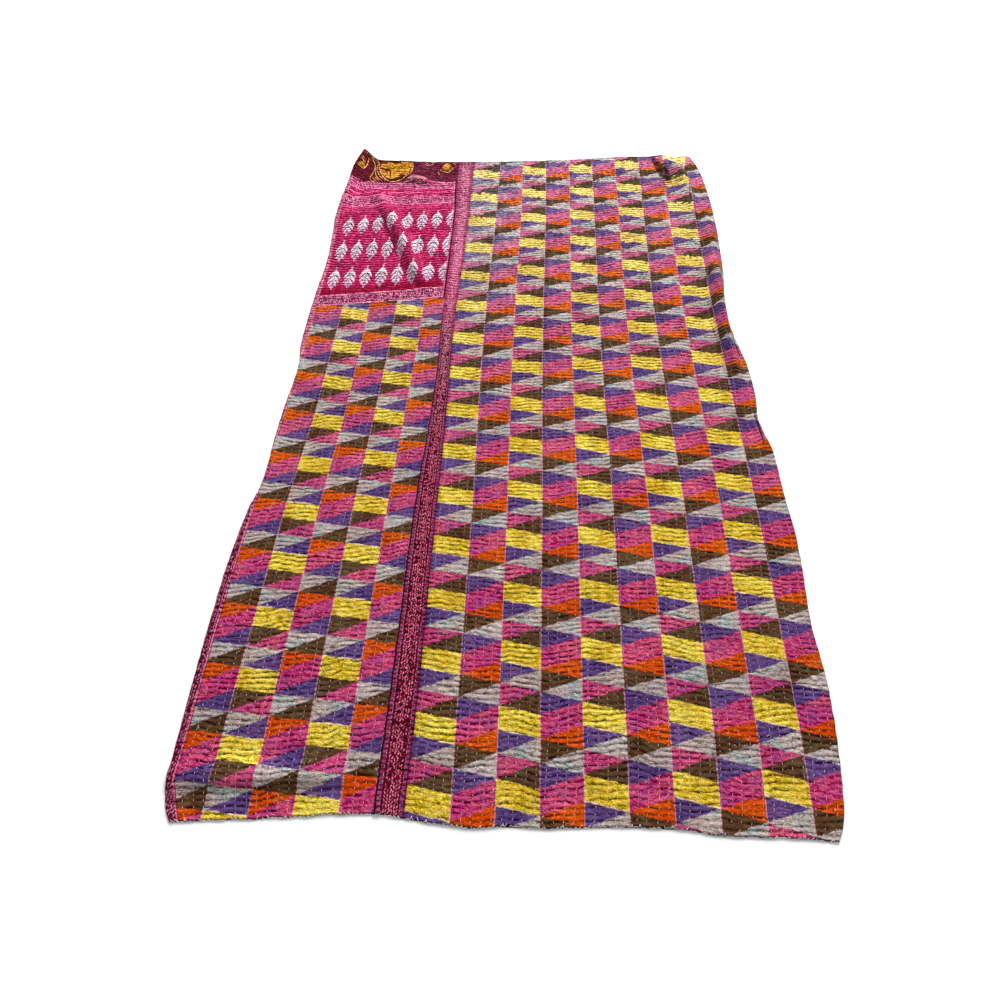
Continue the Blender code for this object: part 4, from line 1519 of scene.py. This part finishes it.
def set_stage():
    """A pale floor, a soft low light from beyond the head end and an even fill."""
    bpy.ops.mesh.primitive_plane_add(size=30.0, location=(0.0, 0.0, -0.0006))
    floor = bpy.context.object
    floor.name = "floor"
    material, _, inputs = matt_material("white_paper", 0.9)
    inputs["Base Color"].default_value = paint("#f6f6f6")
    floor.data.materials.append(material)
    key = bpy.data.lights.new("key", "SUN")
    key.energy = 2.4
    key.angle = math.radians(26)
    shine(placed("key", key), (-0.5, -1.6, -1.0))
    # A large soft light beyond the head end, which makes that end brighter.
    window = bpy.data.lights.new("window", "AREA")
    window.size = 2.0
    window.energy = 175.0
    pane = placed("window", window)
    pane.location = (0.5, 3.2, 1.9)
    shine(pane, (-0.3, -2.6, -1.9))
    world = bpy.data.worlds.new("studio")
    bpy.context.scene.world = world
    world.use_nodes = True
    backdrop = world.node_tree.nodes["Background"].inputs
    backdrop["Color"].default_value = (1.0, 1.0, 1.0, 1.0)
    backdrop["Strength"].default_value = 0.49
    bpy.context.scene.view_settings.view_transform = "Standard"


def set_camera():
    """A wide lens held over the foot end, looking down and along the quilt."""
    view = bpy.data.cameras.new("camera")
    view.lens = 20.87
    view.sensor_width = 36.0
    view.shift_x = -0.0292
    view.shift_y = -0.15
    camera = placed("camera", view)
    camera.location = (0.073, -0.995, 1.626)
    camera.rotation_euler = [math.radians(turn) for turn in (34.36, 0.72, 1.23)]
    bpy.context.scene.camera = camera


def dress(made):
    """Gives each cloth its printed cotton, in place of the solid that it covers."""
    for name, node, slot, material, printed in (
        ("left_cloth", "left_panel", "left_cloth", "leaf_ended_sari_cotton", print_left),
        ("head_cloth", "head_patch", "patch_cloth", "plum_sari_cotton", print_patch),
        ("border_cloth", "right_panel", "right_cloth", "crimson_border_cotton", print_border),
        ("right_cloth", "right_panel", "right_cloth", "harlequin_printed_cotton", print_right),
    ):
        piece = made[name][0]
        piece.data.materials.append(cotton_material(material, printed))
        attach(piece, "root")
        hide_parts(node)


def sew(made):
    """The rows of running stitch, with a few stray threads, and the overcast ends."""
    pale = thread_material("pale_pink_sewing_thread", "#e8dad4", "#a4848c")
    rose = thread_material("rose_sewing_thread", "#b04a78", "#7c3358")
    white = thread_material("white_sewing_thread", "#ece4e2", "#b8a8ac")
    for seed, cloth in enumerate(CLOTHS):
        stitches = running_stitches(cloth, made[cloth.name][1], seed)
        stitches.data.materials.append(pale)
        stitches.data.materials.append(rose)
        middles = np.zeros(3 * len(stitches.data.polygons))
        stitches.data.polygons.foreach_get("center", middles)
        middles = middles.reshape(-1, 3)
        # Over the leaf-patterned end and the plum strip the thread has taken up the rose dye.
        rosy = (middles[:, 0] < -0.285) & (middles[:, 1] > 0.31)
        stitches.data.polygons.foreach_set("material_index", rosy.astype(np.int32))
        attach(stitches, "root")
        if cloth.name in ("left_cloth", "right_cloth"):
            strays = stray_threads(cloth, made[cloth.name][1], 3 * cloth.columns, seed + 20)
            strays.data.materials.append(pale)
            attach(strays, "root")
    for name, points in (
        ("foot_stitches_left", made["left_cloth"][1]),
        ("foot_stitches_right", made["right_cloth"][1]),
        ("foot_stitches_border", made["border_cloth"][1]),
        ("head_stitches_patch", made["head_cloth"][1][::-1]),
        ("head_stitches_right", made["right_cloth"][1][::-1]),
        ("head_stitches_border", made["border_cloth"][1][::-1]),
    ):
        binding = overcast_stitches(name, points, len(name))
        binding.data.materials.append(white)
        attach(binding, "root")


def print_paisleys(head_cloth):
    """The four layers of the paisley print, each laid just over the one before."""
    for name, shapes, lift, code in (
        ("brown_paisley_ground", [*map(blot, BROWN_GROUNDS)], 0.4, "#4c1206"),
        ("gold_paisley_print", [*map(blot, GOLD_MASSES)], 0.65, "#cb9018"),
        ("brown_paisley_scrolls", [*map(blot, BROWN_MASSES), *map(ribbon, BROWN_STROKES)], 0.8,
         "#4c1206"),
        ("apricot_paisley_lines", [*map(ribbon, APRICOT_STROKES)], 0.95, "#efa56e"),
    ):
        print_layer = printed_piece(name, head_cloth, shapes, lift)
        print_layer.data.materials.append(cotton_material(name + "_ink", ink(code)))
        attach(print_layer, "root")


def main():
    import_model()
    set_stage()
    set_camera()
    made = {cloth.name: cotton_sheet(cloth) for cloth in CLOTHS}
    dress(made)
    sew(made)
    print_paisleys(made["head_cloth"][1:])


main()
